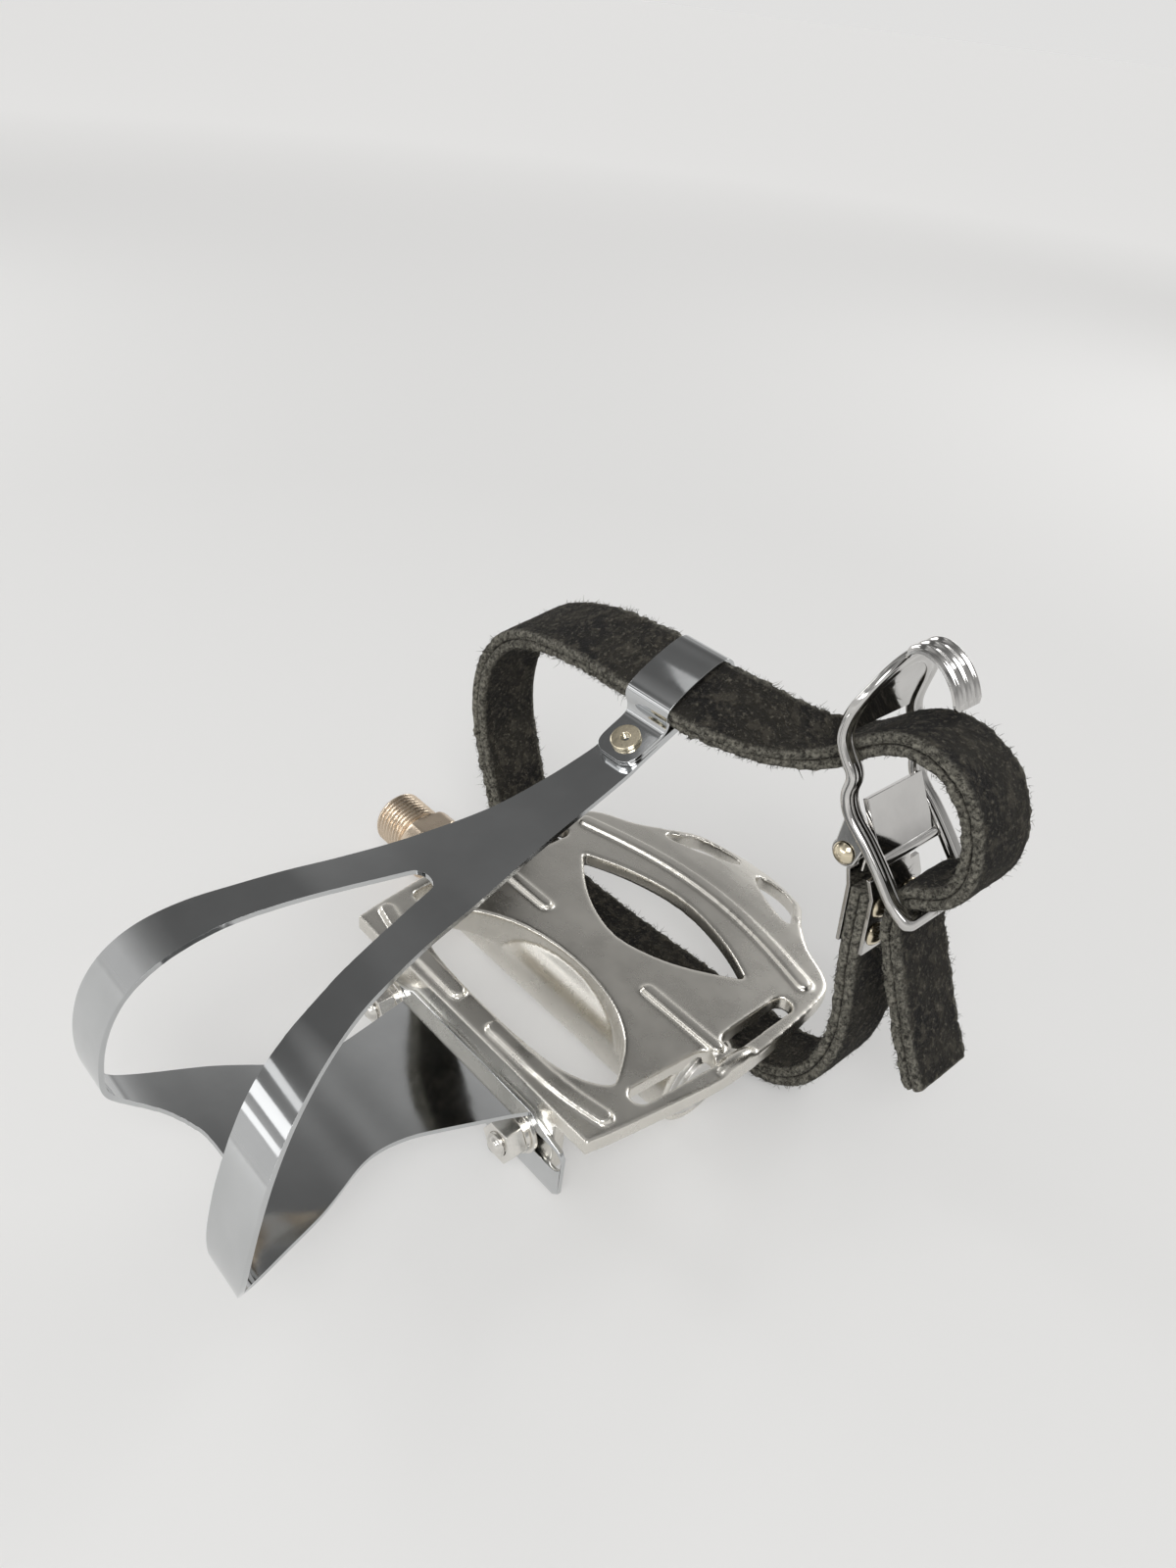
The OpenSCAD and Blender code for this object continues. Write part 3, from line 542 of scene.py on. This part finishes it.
def build_flange():
    """The clip's bolt flange with its two slots."""
    data = bpy.data.curves.new("clip_flange", "CURVE")
    data.dimensions = "2D"
    data.fill_mode = "BOTH"
    data.extrude = (CLIP_T / 2 - FLANGE_BEVEL) * MM
    data.bevel_depth = FLANGE_BEVEL * MM
    data.bevel_resolution = 2
    data.offset = -FLANGE_BEVEL * MM
    top, low = -BEND_Z + 0.7, -BEND_Z - FLANGE_H
    outline = [(-20, top), (20, top), (22, -BEND_Z - 0.4), (FLANGE_HALF - 1, -BEND_Z - 2.6),
               (FLANGE_HALF, -BEND_Z - 4), (FLANGE_HALF, low + 1.5), (FLANGE_HALF - 1.5, low)]
    outline += [(-x, z) for x, z in reversed(outline[2:])]
    loops = [outline]
    half_turn = np.linspace(-math.pi / 2, math.pi / 2, 15)
    for side in (-1, 1):
        ends = (side * (BOLT_X - SLOT_IN), side * (BOLT_X + SLOT_OUT))
        lo, hi = min(ends), max(ends)
        loop = [(hi + SLOT_R * math.cos(t), -BOLT_Z + SLOT_R * math.sin(t)) for t in half_turn]
        loop += [(lo - SLOT_R * math.cos(t), -BOLT_Z - SLOT_R * math.sin(t)) for t in half_turn]
        loops.append(loop)
    for loop in loops:
        spline = data.splines.new("POLY")
        spline.points.add(len(loop) - 1)
        for point, (x, z) in zip(spline.points, loop):
            point.co = (x * MM, z * MM, 0, 1)
        spline.use_cyclic_u = True
    flange = bpy.data.objects.new("clip_flange_curve", data)
    bpy.context.scene.collection.objects.link(flange)
    place = Matrix.Translation(Vector(row((-CLIP_SHIFT, FRONT_Y + CLIP_T / 2, 0))))
    flange.matrix_world = place @ Matrix.Rotation(math.radians(90), 4, "X")
    bpy.context.view_layer.update()
    graph = bpy.context.evaluated_depsgraph_get()
    mesh = bpy.data.meshes.new_from_object(flange.evaluated_get(graph))
    mesh.transform(flange.matrix_world)
    bpy.data.objects.remove(flange)
    dress(bpy.data.objects.new("clip_flange", mesh), "clip_chrome", sharp=40.0)


# ------------------------------------------------------------------ strap
# The loop's lower and upper sheet above the tongue, its front and the strap's place in it
LOOP_LOW, LOOP_HIGH = 0.96, 6.76
LOOP_FRONT = 6.2
SEAT = along_tongue(LOOP_FRONT + 0.8 + 0.3, (LOOP_LOW + LOOP_HIGH) / 2)
# The middle of the strap's front edge, from the hinge plate under the platform and over to its
# cut end: (x, y, z, tilt in degrees)
STRAP = [
    (-47.6, STRAP_Y, 39.6, 0), (-48.4, STRAP_Y, 30, 0), (-49.2, STRAP_Y, 22, 0), (-50.8, -18.6, 14, 0),
    (-51.8, -18.2, 6, 0), (-51, -17.8, -2, 0), (-48, -17.4, -10, 0), (-42, -16.8, -15.6, 0),
    (-33, -16.2, -17.6, 0), (-10, -14.8, -18, 0), (14, -13.6, -18, 0), (33, -12.8, -17.4, 0),
    (42, -12.2, -14.6, 0), (47.6, -11.4, -7, 0), (50.4, -10.4, 3, 0), (53.4, -9.4, 13, 0), (56, -8.6, 23, 0),
    (56.6, -7.8, 33, 2), (54, -7, 43, 4), (48, -6, 51.6, 7), (40, -5, 57, 11), (30, -4, 60.2, 16),
    (18, -2.8, 62.4, 22), (4, *SEAT, 26.6), (-4, *SEAT, 26.6), (-12, *SEAT, 26.6), (-20, -4.4, 62.8, 22),
    (-26, -9, 61.8, 15), (-31.4, -14.6, 62, 7), (-36, -18.4, 64.2, 2), (-40.6, STRAP_Y, 68.6, 0),
    (-46, STRAP_Y, 72, 0), (-52, STRAP_Y, 73, 0), (-58, STRAP_Y, 71.2, 0), (-62.6, STRAP_Y, 67, 0),
    (-65.2, STRAP_Y, 61, 0), (-65.8, STRAP_Y, 54.8, 0), (-64.2, STRAP_Y, 49.8, 0), (-61, STRAP_Y, 46.8, 0),
    (-57.8, STRAP_Y, 45.2, 0), (-55.8, STRAP_Y, 43, 0), (-55.4, STRAP_Y, 40, 0), (-55.6, STRAP_Y, 35.6, 0),
    (-58, STRAP_Y, 29.4, 0), (-61.2, STRAP_Y, 22.6, 0), (-65.4, STRAP_Y, 14, 0), (-70.4, STRAP_Y, 5.2, 0)]


def strap_section():
    """Two layers with a seam at the middle of each cut edge: (width, thickness, edge share)."""
    h = STRAP_T / 2
    edge = [(1.5, -h, 0.0), (0.9, -h + 0.02, 0.35), (0.4, -h + 0.16, 0.8), (0.12, -h + 0.5, 1.0),
            (0.0, -h + 1.0, 1.0), (0.04, -h + 1.5, 1.0), (0.22, -0.34, 1.0), (0.75, -0.06, 0.0),
            (0.75, 0.06, 0.0), (0.22, 0.34, 1.0), (0.04, h - 1.5, 1.0), (0.0, h - 1.0, 1.0),
            (0.12, h - 0.5, 1.0), (0.4, h - 0.16, 0.8), (0.9, h - 0.02, 0.35), (1.5, h, 0.0)]
    inner = list(np.linspace(1.5, STRAP_W - 1.5, 11)[1:-1])
    points = edge + [(u, h, 0.0) for u in inner]
    points += [(STRAP_W - u, v, e) for u, v, e in reversed(edge)]
    points += [(u, -h, 0.0) for u in reversed(inner)]
    return points


def build_strap():
    """The leather strap, rough on its cut edges and smoother where metal holds it."""
    line = even(curve_through(STRAP, 14), 0.6, 1.0)
    path = line[:, :3]
    tilt = np.radians(line[:, 3])
    width = np.stack([np.zeros(len(path)), -np.cos(tilt), np.sin(tilt)], 1)
    t = tangents(path)
    up = np.cross(t, width)
    up /= np.linalg.norm(up, axis=1)[:, None]
    points = strap_section()
    m, n = len(points), len(path)
    mid = STRAP_W / 2
    verts, shares = [], []
    tight = [False] * n
    for i in range(n):
        x, _, z = path[i]
        # Inside the loop or the hinge plate
        held = (abs(x + CLIP_SHIFT) < 7.5 and z > 50) or (x > -51 and 24 < z < 41)
        tight[i] = held
        slack = 0.2 if held else 1.0
        for a, b, e in points:
            p = path[i] + width[i] * a + up[i] * b
            k = noise.noise(Vector(p) * 0.55) + 0.9 * noise.noise(Vector(p) * 1.5)
            rough = (0.17 + 0.36 * e) * slack
            push = width[i] * np.sign(a - mid) * e * k * rough
            push = push + up[i] * np.sign(b) * k * rough * (0.55 - 0.3 * e)
            wave = 0.12 * noise.noise(Vector((i * 0.02, a * 0.12, 3.1))) * slack
            verts.append(row(p + push + up[i] * wave))
            shares.append(e)
    faces = []
    for i in range(n - 1):
        for k in range(m):
            l = (k + 1) % m
            faces.append((i * m + k, (i + 1) * m + k, (i + 1) * m + l, i * m + l))
    faces.append(tuple(range(m)))
    faces.append(tuple((n - 1) * m + k for k in range(m)))
    mesh = bpy.data.meshes.new("suede_strap")
    mesh.from_pydata([tuple(v) for v in verts], [], faces)
    layer = mesh.attributes.new("edge", "FLOAT", "POINT")
    ends = [1.0 if i < m or i >= (n - 1) * m else s for i, s in enumerate(shares)]
    layer.data.foreach_set("value", ends)
    strap = bpy.data.objects.new("suede_strap", mesh)
    dress(strap, "strap_leather", "pedal", ("toe_strap",), 180.0)
    build_fibres(path, width, up, t, tight)


FIBRES = 11000


def build_fibres(path, width, up, t, tight):
    """Loose fibres along the strap's cut edges and on its nap, three thin rings each."""
    mid = STRAP_W / 2
    hairs, hair_faces, hair_share = [], [], []
    for _ in range(FIBRES):
        i = rng.randrange(1, len(path) - 1)
        if tight[i]:
            continue
        on_edge = rng.random() < 0.82
        side = rng.choice((-1, 1))
        if on_edge:
            a = 0.1 if rng.random() < 0.5 else STRAP_W - 0.1
            b = rng.choice((-1, 1)) * rng.uniform(0.45, STRAP_T / 2 - 0.05)
            out = width[i] * (-1 if a < mid else 1) * rng.uniform(0.5, 1.0) + up[i] * rng.uniform(-0.9, 0.9)
        else:
            a = rng.uniform(0.8, STRAP_W - 0.8)
            b = side * STRAP_T / 2
            out = up[i] * side * rng.uniform(0.2, 0.7) + width[i] * rng.uniform(-1, 1)
        out = out + t[i] * rng.uniform(-0.9, 0.9)
        out /= np.linalg.norm(out)
        length = rng.uniform(0.5, 1.25) * (2.0 if rng.random() < 0.07 else 1.0) * (1.0 if on_edge else 0.75)
        side_dir = np.cross(out, t[i] + 0.01)
        side_dir /= np.linalg.norm(side_dir)
        third = np.cross(out, side_dir)
        bend = side_dir * rng.uniform(-0.5, 0.5) + third * rng.uniform(-0.5, 0.5)
        root = path[i] + width[i] * a + up[i] * b - out * 0.15
        base = len(hairs)
        for j, r in enumerate((0.055, 0.045, 0.015)):
            f = j / 2
            c = root + out * length * f + bend * length * f * f
            for q in range(3):
                ang = 2 * math.pi * q / 3
                hairs.append(row(c + side_dir * math.cos(ang) * r + third * math.sin(ang) * r))
                hair_share.append(1.0 if on_edge else 0.6)
        for j in range(2):
            for q in range(3):
                a0, a1 = base + 3 * j + q, base + 3 * j + (q + 1) % 3
                hair_faces.append((a0, a1, a1 + 3, a0 + 3))
        hair_faces += [(base + 2, base + 1, base), (base + 6, base + 7, base + 8)]
    mesh = bpy.data.meshes.new("strap_fibres")
    mesh.from_pydata([tuple(v) for v in hairs], [], hair_faces)
    layer = mesh.attributes.new("edge", "FLOAT", "POINT")
    layer.data.foreach_set("value", hair_share)
    mesh.shade_smooth()
    mesh.materials.append(MATERIALS["strap_leather"])
    fibres = bpy.data.objects.new("strap_fibres", mesh)
    bpy.context.scene.collection.objects.link(fibres)
    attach(fibres, "pedal")


def build_loop():
    """The strap's loop, one folded tab that lies double under the rivet."""
    low, high = LOOP_LOW, LOOP_HIGH
    front, rear = 6.6, LOOP_FRONT + STRAP_W + 0.6 + 1.2
    under = low + 0.8
    # Along the tongue, above it, and half width
    tab = [(-4.7, under, 2.0), (-4.4, under, 3.2), (-3.6, under, 4.3), (-2.2, under, 4.85), (0, under, 5.0),
           (3, under, 5.0), (4.6, under + 0.05, 5.1), (5.6, under + 0.5, 5.2), (6.3, under + 1.5, 5.4),
           (front - 0.1, 4.0, 5.6), (front, 5.2, 5.7), (front + 0.5, high - 0.45, 5.7),
           (front + 1.9, high + 0.25, 5.7), (front + 6, high + 0.75, 5.7), (rear - 6, high + 0.75, 5.7),
           (rear - 2.1, high + 0.15, 5.7), (rear - 0.6, high - 0.8, 5.7), (rear, high - 2.3, 5.7),
           (rear, 3.6, 5.6), (rear, 1.9, 5.6),
           (rear - 0.5, low + 0.2, 5.5), (rear - 1.6, low, 5.4), (rear - 6, low, 5.3), (8, low, 5.2),
           (2, low, 5.0), (-2.2, low, 4.85), (-3.6, low, 4.3), (-4.4, low, 3.2), (-4.7, low, 2.0)]
    rows, cols = [], 8
    for u, n, w in even(curve_through(tab, 6), 0.4, 0.45):
        y, z = along_tongue(u, n)
        rows.append([((2 * k / cols - 1) * w - CLIP_SHIFT, y, z) for k in range(cols + 1)])
    sheet("folded_loop", "clip_chrome", rows, 0.78, 0.14, stands_for=("strap_loop",))


# ----------------------------------------------------------------- buckle
# Half width of the frame to the cheeks' middle, and height at which its round top starts
FRAME_HALF, FRAME_TOP = 10.6, 74.4


def frame_x(z):
    """Where the frame's side view has its middle at height z."""
    curve = curve_through(FRAME_SIDE, 12)
    order = np.argsort(curve[:, 1])
    return float(np.interp(z, curve[order, 1], curve[order, 0]))


def build_frame_loop(side):
    """The frame's rim: two grooved cheeks, the round top and the lower bar."""
    cheek = side[side[:, 1] < FRAME_TOP][::-1]
    points = []
    for x, z in cheek:
        points.append((x, BUCKLE_Y + FRAME_HALF, z))
    for a in np.linspace(0, math.pi, 34)[1:-1]:
        z = FRAME_TOP + FRAME_HALF * math.sin(a)
        points.append((frame_x(z), BUCKLE_Y + FRAME_HALF * math.cos(a), z))
    for x, z in cheek[::-1]:
        points.append((x, BUCKLE_Y - FRAME_HALF, z))
    for a in np.linspace(-1, 1, 12)[1:-1]:
        points.append((BAR_AT[0], BUCKLE_Y + FRAME_HALF * a, BAR_AT[1]))
    p = np.array(points)
    loop = np.concatenate([p[-6:], p, p[:6]])
    curve = even(loop, 0.35, 0.8)
    # Keeps one turn of the closed path
    start = int(np.argmin(np.linalg.norm(curve[:60] - p[0], axis=1)))
    rest = curve[start + 60:]
    stop = start + 60 + int(np.argmin(np.linalg.norm(rest - curve[start], axis=1)))
    curve = curve[start:stop]
    t = np.roll(curve, -1, 0) - np.roll(curve, 1, 0)
    t /= np.linalg.norm(t, axis=1)[:, None]
    # Directions across the rim, in the frame's plane and out of it
    out, flat = [], []
    for i, q in enumerate(curve):
        side_slope = np.array([frame_x(q[2] + 0.6) - frame_x(q[2] - 0.6), 0, 1.2])
        side_slope /= np.linalg.norm(side_slope)
        face = np.cross(side_slope, (0, 1, 0))
        f = face - t[i] * np.dot(face, t[i])
        f /= np.linalg.norm(f)
        flat.append(f)
        out.append(np.cross(t[i], f))
    out, flat = np.array(out), np.array(flat)
    sections = []
    sides = 44
    for q in curve:
        # 1 in the lower bar, and 1 in the round top
        bar = max(0.0, min(1.0, (44.5 - q[2]) / 2.5))
        arch = max(0.0, min(1.0, (q[2] - 77.0) / 4.0))
        a, b = 1.9 * (1 - bar) + 1.5 * bar, 1.15 * (1 - bar) + 1.45 * bar - 0.2 * arch
        ring = []
        for k in range(sides):
            ang = 2 * math.pi * k / sides
            c, s = math.cos(ang), math.sin(ang)
            power = 2.0 / (2.0 + 1.0 * (1 - bar))
            u = a * math.copysign(abs(c) ** power, c)
            v = b * math.copysign(abs(s) ** power, s)
            # Pressed groove between the two ridges of each cheek
            v *= 1.0 - 0.45 * (1 - bar) * (1 - 0.5 * arch) * math.exp(-(u / 0.55) ** 2)
            ring.append((u, v))
        sections.append(ring)
    sweep(curve, out, flat, sections, "buckle_loop", "buckle_chrome", closed=True,
          stands_for=("buckle_frame",), sharp=60.0)


def build_ears():
    """The frame's two ears, which carry the pin."""
    ear = [(PIN_AT[0] + 2.9 * math.cos(t), PIN_AT[1] + 2.9 * math.sin(t))
           for t in np.linspace(-2.6, 0.6, 14)]
    ear += [(-42.2, 55.2), (-43.4, 56.6), (-46.4, 54.2), (-48.2, 52.4)]
    n = len(ear)
    faces = [tuple(range(n)), tuple(range(n, 2 * n))]
    faces += [(k, (k + 1) % n, n + (k + 1) % n, n + k) for k in range(n)]
    for s, name in ((-1, "buckle_ear_far"), (1, "buckle_ear_near")):
        y = BUCKLE_Y + s * 11.0
        verts = [row((x, y + d * 0.75, z)) for d in (-1, 1) for x, z in ear]
        softened(make_object(name, verts, faces, "buckle_chrome"), 0.35, 3, 40.0)


def build_plate(side):
    """The plate that fills the frame above the strap's window."""
    rows, cols = [], 14
    for x, z in even(side[side[:, 1] >= WINDOW_TOP][::-1], 0.4, 0.3):
        w = math.sqrt(max(11.3 ** 2 - max(z - FRAME_TOP, 0.0) ** 2, 0.01))
        rows.append([(x, BUCKLE_Y + w * (2 * k / cols - 1), z) for k in range(cols + 1)])
    sheet("buckle_plate", "buckle_chrome", rows, 0.9, 0.2)


# Half width and half thickness of the thumb tab, height of its ribs and step along it
THUMB_HALF, THUMB_T, RIB_H, THUMB_STEP = 4.0, 0.55, 0.6, 0.3


def build_thumb():
    """The thumb tab, with three ribs that fade towards its two ends."""
    line = even(curve_through(THUMB_SIDE, 10), THUMB_STEP, 0.5)
    path = np.stack([line[:, 0], np.full(len(line), BUCKLE_Y), line[:, 1]], 1)
    across = np.tile([0.0, 1.0, 0.0], (len(path), 1))
    up = np.cross(across, tangents(path))
    sections, cols = [], 48
    for i in range(len(path)):
        to_tip = (len(path) - 1 - i) * THUMB_STEP / 1.2
        fade = min(1.0, to_tip, 0.25 + i * THUMB_STEP / 2.0)
        w = THUMB_HALF * math.sqrt(1 - max(0.0, 1 - to_tip) ** 2 * 0.3)
        top, bottom = [], []
        for k in range(cols + 1):
            a = w * (2 * k / cols - 1)
            face = THUMB_T * (1 - 0.5 * abs(a / w) ** 8)
            rib = max(0.0, math.cos(2 * math.pi * a / (2 * THUMB_HALF / 3))) ** 1.5
            top.append((a, face + RIB_H * rib * fade))
            bottom.append((a, -face))
        sections.append(top + bottom[::-1])
    sweep(path, across, up, sections, "buckle_thumb", "buckle_chrome", sharp=60.0)


def build_buckle():
    side = curve_through(FRAME_SIDE, 10)
    build_frame_loop(side)
    build_ears()
    build_plate(side)
    build_thumb()


# ---------------------------------------------------------------- spindle
def build_spindle():
    """The spindle with its cut crank thread and wrench flats."""
    pitch, r = 1.27, 7.14
    profile = [(77.7, 3.2), (77.7, 6.0), (77.45, 6.35), (76.9, 6.75)]
    step = 0.1
    profile += [(x, r) for x in np.arange(76.7, 66.2, -step)]
    profile += [(66.0, 6.35), (65.3, 6.3), (65.05, 6.5), (65.0, 7.9), (64.8, 8.5), (64.4, 8.7)]
    profile += [(x, 8.7) for x in np.arange(63.6, 59.4, -0.8)] + [(59.3, 8.5), (59.0, 8.2), (58.9, 7.3)]
    profile += [(x, 7.1 - (58.9 - x) * 0.9 / 14.9) for x in np.arange(58, 44.5, -1.5)]
    profile += [(44, 6.2), (38, 6.2), (34.5, 6.2)]
    # Groove that the inner balls run in
    profile += [(32.4 + 2.045 * math.cos(a), 6.7 - 2.045 * math.sin(a))
                for a in np.linspace(0.26, math.pi - 0.26, 13)]
    profile += [(27.4, 6.2), (15.4, 5.0), (-20.0, 5.0), (-20.0, 4.0), (-32.1, 4.0), (-32.6, 3.5),
                (-32.6, 0.4)]

    def twist(x, rr, a):
        if 66.1 < x < 76.8:
            turn = (x / pitch - a / (2 * math.pi)) % 1.0
            tooth = abs(2 * turn - 1)
            depth = 0.72 * min(1.0, (x - 66.1) / 0.8, (76.8 - x) / 0.5 + 0.2)
            return rr - depth * max(0.0, min(1.0, 1.12 - 1.25 * tooth))
        if 58.95 < x < 64.95:
            flat = 7.5 / max(abs(math.sin(a)), 1e-6)
            return min(rr, flat)
        return rr

    lathe(profile, "threaded_spindle", "spindle_steel", twist, 120, "spindle", ("spindle",), sharp=50.0)


# -------------------------------------------------------------- fasteners
def build_bolts():
    """The two clip bolts, with hollow hexagon heads and cut threads."""
    pitch, r = 0.8, 2.5
    profile = [(12.1, 0.3), (12.1, 1.2), (11.85, 1.6), (11.5, 1.85), (11.2, 2.2)]
    profile += [(x, r) for x in np.arange(11.1, 4.9, -0.08)] + [(4.8, r), (0.0, r)]
    profile += [(0.0, 4.2), (-0.2, 4.4), (-3.1, 4.4), (-3.4, 4.1), (-3.4, 2.3), (-2.0, 2.1), (-2.0, 0.3)]

    def twist(x, rr, a):
        if 5.0 < x < 11.15:
            turn = (x / pitch + a / (2 * math.pi)) % 1.0
            return rr - 0.42 * max(0.0, min(1.0, 1.1 - 1.3 * abs(2 * turn - 1)))
        if -3.5 < x < 0 and rr > 4.3:
            k = (a + math.pi / 6) % (math.pi / 3) - math.pi / 6
            return min(rr, 3.95 / math.cos(k))
        return rr

    # The outer one stands for both bolts of the node
    for s, name, stands_for in ((-1, "clip_bolt_outer", ("clip_bolts",)), (1, "clip_bolt_inner", ())):
        base = np.array([s * BOLT_X, FRONT_Y - 3.4, -BOLT_Z])

        def place(p, base=base):
            return row(base + np.array([p[1], p[0], p[2]]))

        lathe(profile, name, "fastener_steel", twist, 72, "pedal", stands_for, place, 50.0)


# ------------------------------------------------------------------ stage
# Half the floor's side in metres
FLOOR_HALF = 60.0


def build_floor():
    """The pale ground under the object, which keeps its shadow."""
    # Just under the barrel, the lowest of the solids
    floor_z = CAD_BOX[0][2] - 0.05 * MM
    mesh = bpy.data.meshes.new("floor")
    corners = ((-1, -1), (1, -1), (1, 1), (-1, 1))
    mesh.from_pydata([(x * FLOOR_HALF, y * FLOOR_HALF, floor_z) for x, y in corners], [], [(0, 1, 2, 3)])
    floor = bpy.data.objects.new("floor", mesh)
    bpy.context.scene.collection.objects.link(floor)
    s = Shader("floor_paint")
    s.set(Base_Color=(0.50, 0.497, 0.49, 1.0), Roughness=0.85)
    # The pale ground as it is seen, also in the metal; it lights nothing
    seen = s.tree.nodes.new("ShaderNodeLightPath")
    either = s.maths("MAXIMUM", seen.outputs["Is Camera Ray"], seen.outputs["Is Glossy Ray"])
    either = s.maths("MAXIMUM", either, seen.outputs["Is Transmission Ray"])
    far = s.node("ShaderNodeVectorMath", settings={"operation": "LENGTH"}, inputs={0: s.place})
    glow = s.span(far.outputs["Value"], 0.3, 1.6, 0.30, 0.54)
    s.set(Emission_Color=(1.0, 0.995, 0.985, 1.0), Emission_Strength=s.maths("MULTIPLY", either, glow))
    mesh.materials.append(s.mat)


# Grey of the sky from the horizon up to the zenith
SKY = [(0.0, 0.753), (0.16, 0.742), (0.36, 0.40), (0.62, 0.29), (1.0, 0.27)]


def build_world():
    """A soft sky that is palest at the horizon, where it meets the floor."""
    world = bpy.data.worlds.new("studio")
    bpy.context.scene.world = world
    world.use_nodes = True
    tree = world.node_tree
    background = tree.nodes["Background"]
    coord = tree.nodes.new("ShaderNodeTexCoord")
    split = tree.nodes.new("ShaderNodeSeparateXYZ")
    ramp = tree.nodes.new("ShaderNodeValToRGB")
    tree.links.new(coord.outputs["Generated"], split.inputs[0])
    tree.links.new(split.outputs["Z"], ramp.inputs["Fac"])
    # Broad soft patches overhead, which the polished metal shows
    cloud = tree.nodes.new("ShaderNodeTexNoise")
    cloud.inputs["Scale"].default_value = 2.1
    cloud.inputs["Detail"].default_value = 1.0
    tree.links.new(coord.outputs["Generated"], cloud.inputs["Vector"])
    level = tree.nodes.new("ShaderNodeMapRange")
    for key, value in (("From Min", 0.36), ("From Max", 0.64), ("To Min", 0.55), ("To Max", 1.75)):
        level.inputs[key].default_value = value
    tree.links.new(cloud.outputs["Fac"], level.inputs["Value"])
    # Even at the horizon, where it meets the floor
    above = tree.nodes.new("ShaderNodeMapRange")
    above.inputs["From Min"].default_value = 0.36
    above.inputs["From Max"].default_value = 0.56
    tree.links.new(split.outputs["Z"], above.inputs["Value"])
    share = tree.nodes.new("ShaderNodeMix")
    share.inputs["A"].default_value = 1.0
    tree.links.new(above.outputs["Result"], share.inputs["Factor"])
    tree.links.new(level.outputs["Result"], share.inputs["B"])
    tree.links.new(share.outputs["Result"], background.inputs["Strength"])
    tree.links.new(ramp.outputs["Color"], background.inputs["Color"])
    elements = ramp.color_ramp.elements
    while len(elements) < len(SKY):
        elements.new(0.5)
    for e, (pos, v) in zip(elements, SKY):
        e.position = pos
        e.color = (v, v * 0.995, v * 0.985, 1.0)


# Name, place and size in metres, and power in watts; the last four are weak strips that only the
# polished clip shows
LAMPS = (
    ("key", (-0.60, 0.55, 0.80), (0.50, 0.50), 5.4),
    ("rim", (-0.10, -0.85, 0.50), (0.60, 0.25), 2.0),
    ("front", (-0.05, 0.85, 0.30), (0.60, 0.14), 1.4),
    ("side", (0.75, 0.20, 0.40), (0.22, 0.50), 1.2),
    ("bend_low", (0.30, 0.72, 0.22), (0.34, 0.05), 0.055),
    ("bend_middle", (0.32, 0.66, 0.36), (0.34, 0.10), 0.14),
    ("bend_high", (0.36, 0.58, 0.54), (0.36, 0.06), 0.06),
    ("arms", (0.30, 0.12, 0.80), (0.34, 0.16), 0.10))


def build_lamps():
    """Soft lamps that face the middle of the object."""
    middle = Vector((-0.075, 0.02, 0.03))
    for name, place, size, power in LAMPS:
        data = bpy.data.lights.new(name, "AREA")
        data.shape = "RECTANGLE"
        data.size, data.size_y = size
        data.energy = power
        lamp = bpy.data.objects.new(name, data)
        bpy.context.scene.collection.objects.link(lamp)
        lamp.location = place
        lamp.rotation_euler = (middle - Vector(place)).to_track_quat("-Z", "Y").to_euler()


# ------------------------------------------------------------------- make
set_camera()
MATERIALS = make_materials()
build_body()
build_clip()
build_flange()
build_strap()
build_loop()
build_buckle()
build_spindle()
refined("clip_nuts", "fastener_steel", 0.8)
refined("clip_washers", "fastener_steel", 0.2)
refined("clip_spring_washers", "fastener_steel", 0.12)
build_bolts()
refined("hinge_plate", "buckle_chrome", 0.18)
refined("buckle_lever", "buckle_chrome", 0.25, "lever")
refined("buckle_pin", "rivet_brass", 0.08)
refined("plate_rivets", "rivet_brass", 0.05)
refined("loop_rivet", "rivet_brass", 0.25)
refined("dust_cap", "cap_alloy", 0.3)
refined("inner_seal", "seal_rubber", 0.25)
for part in frame["record"]["subparts"]:
    NODES[part["node"]].data.materials.clear()
    NODES[part["node"]].data.materials.append(MATERIALS[part["material_slot"]])
build_floor()
build_world()
build_lamps()

bpy.context.view_layer.update()
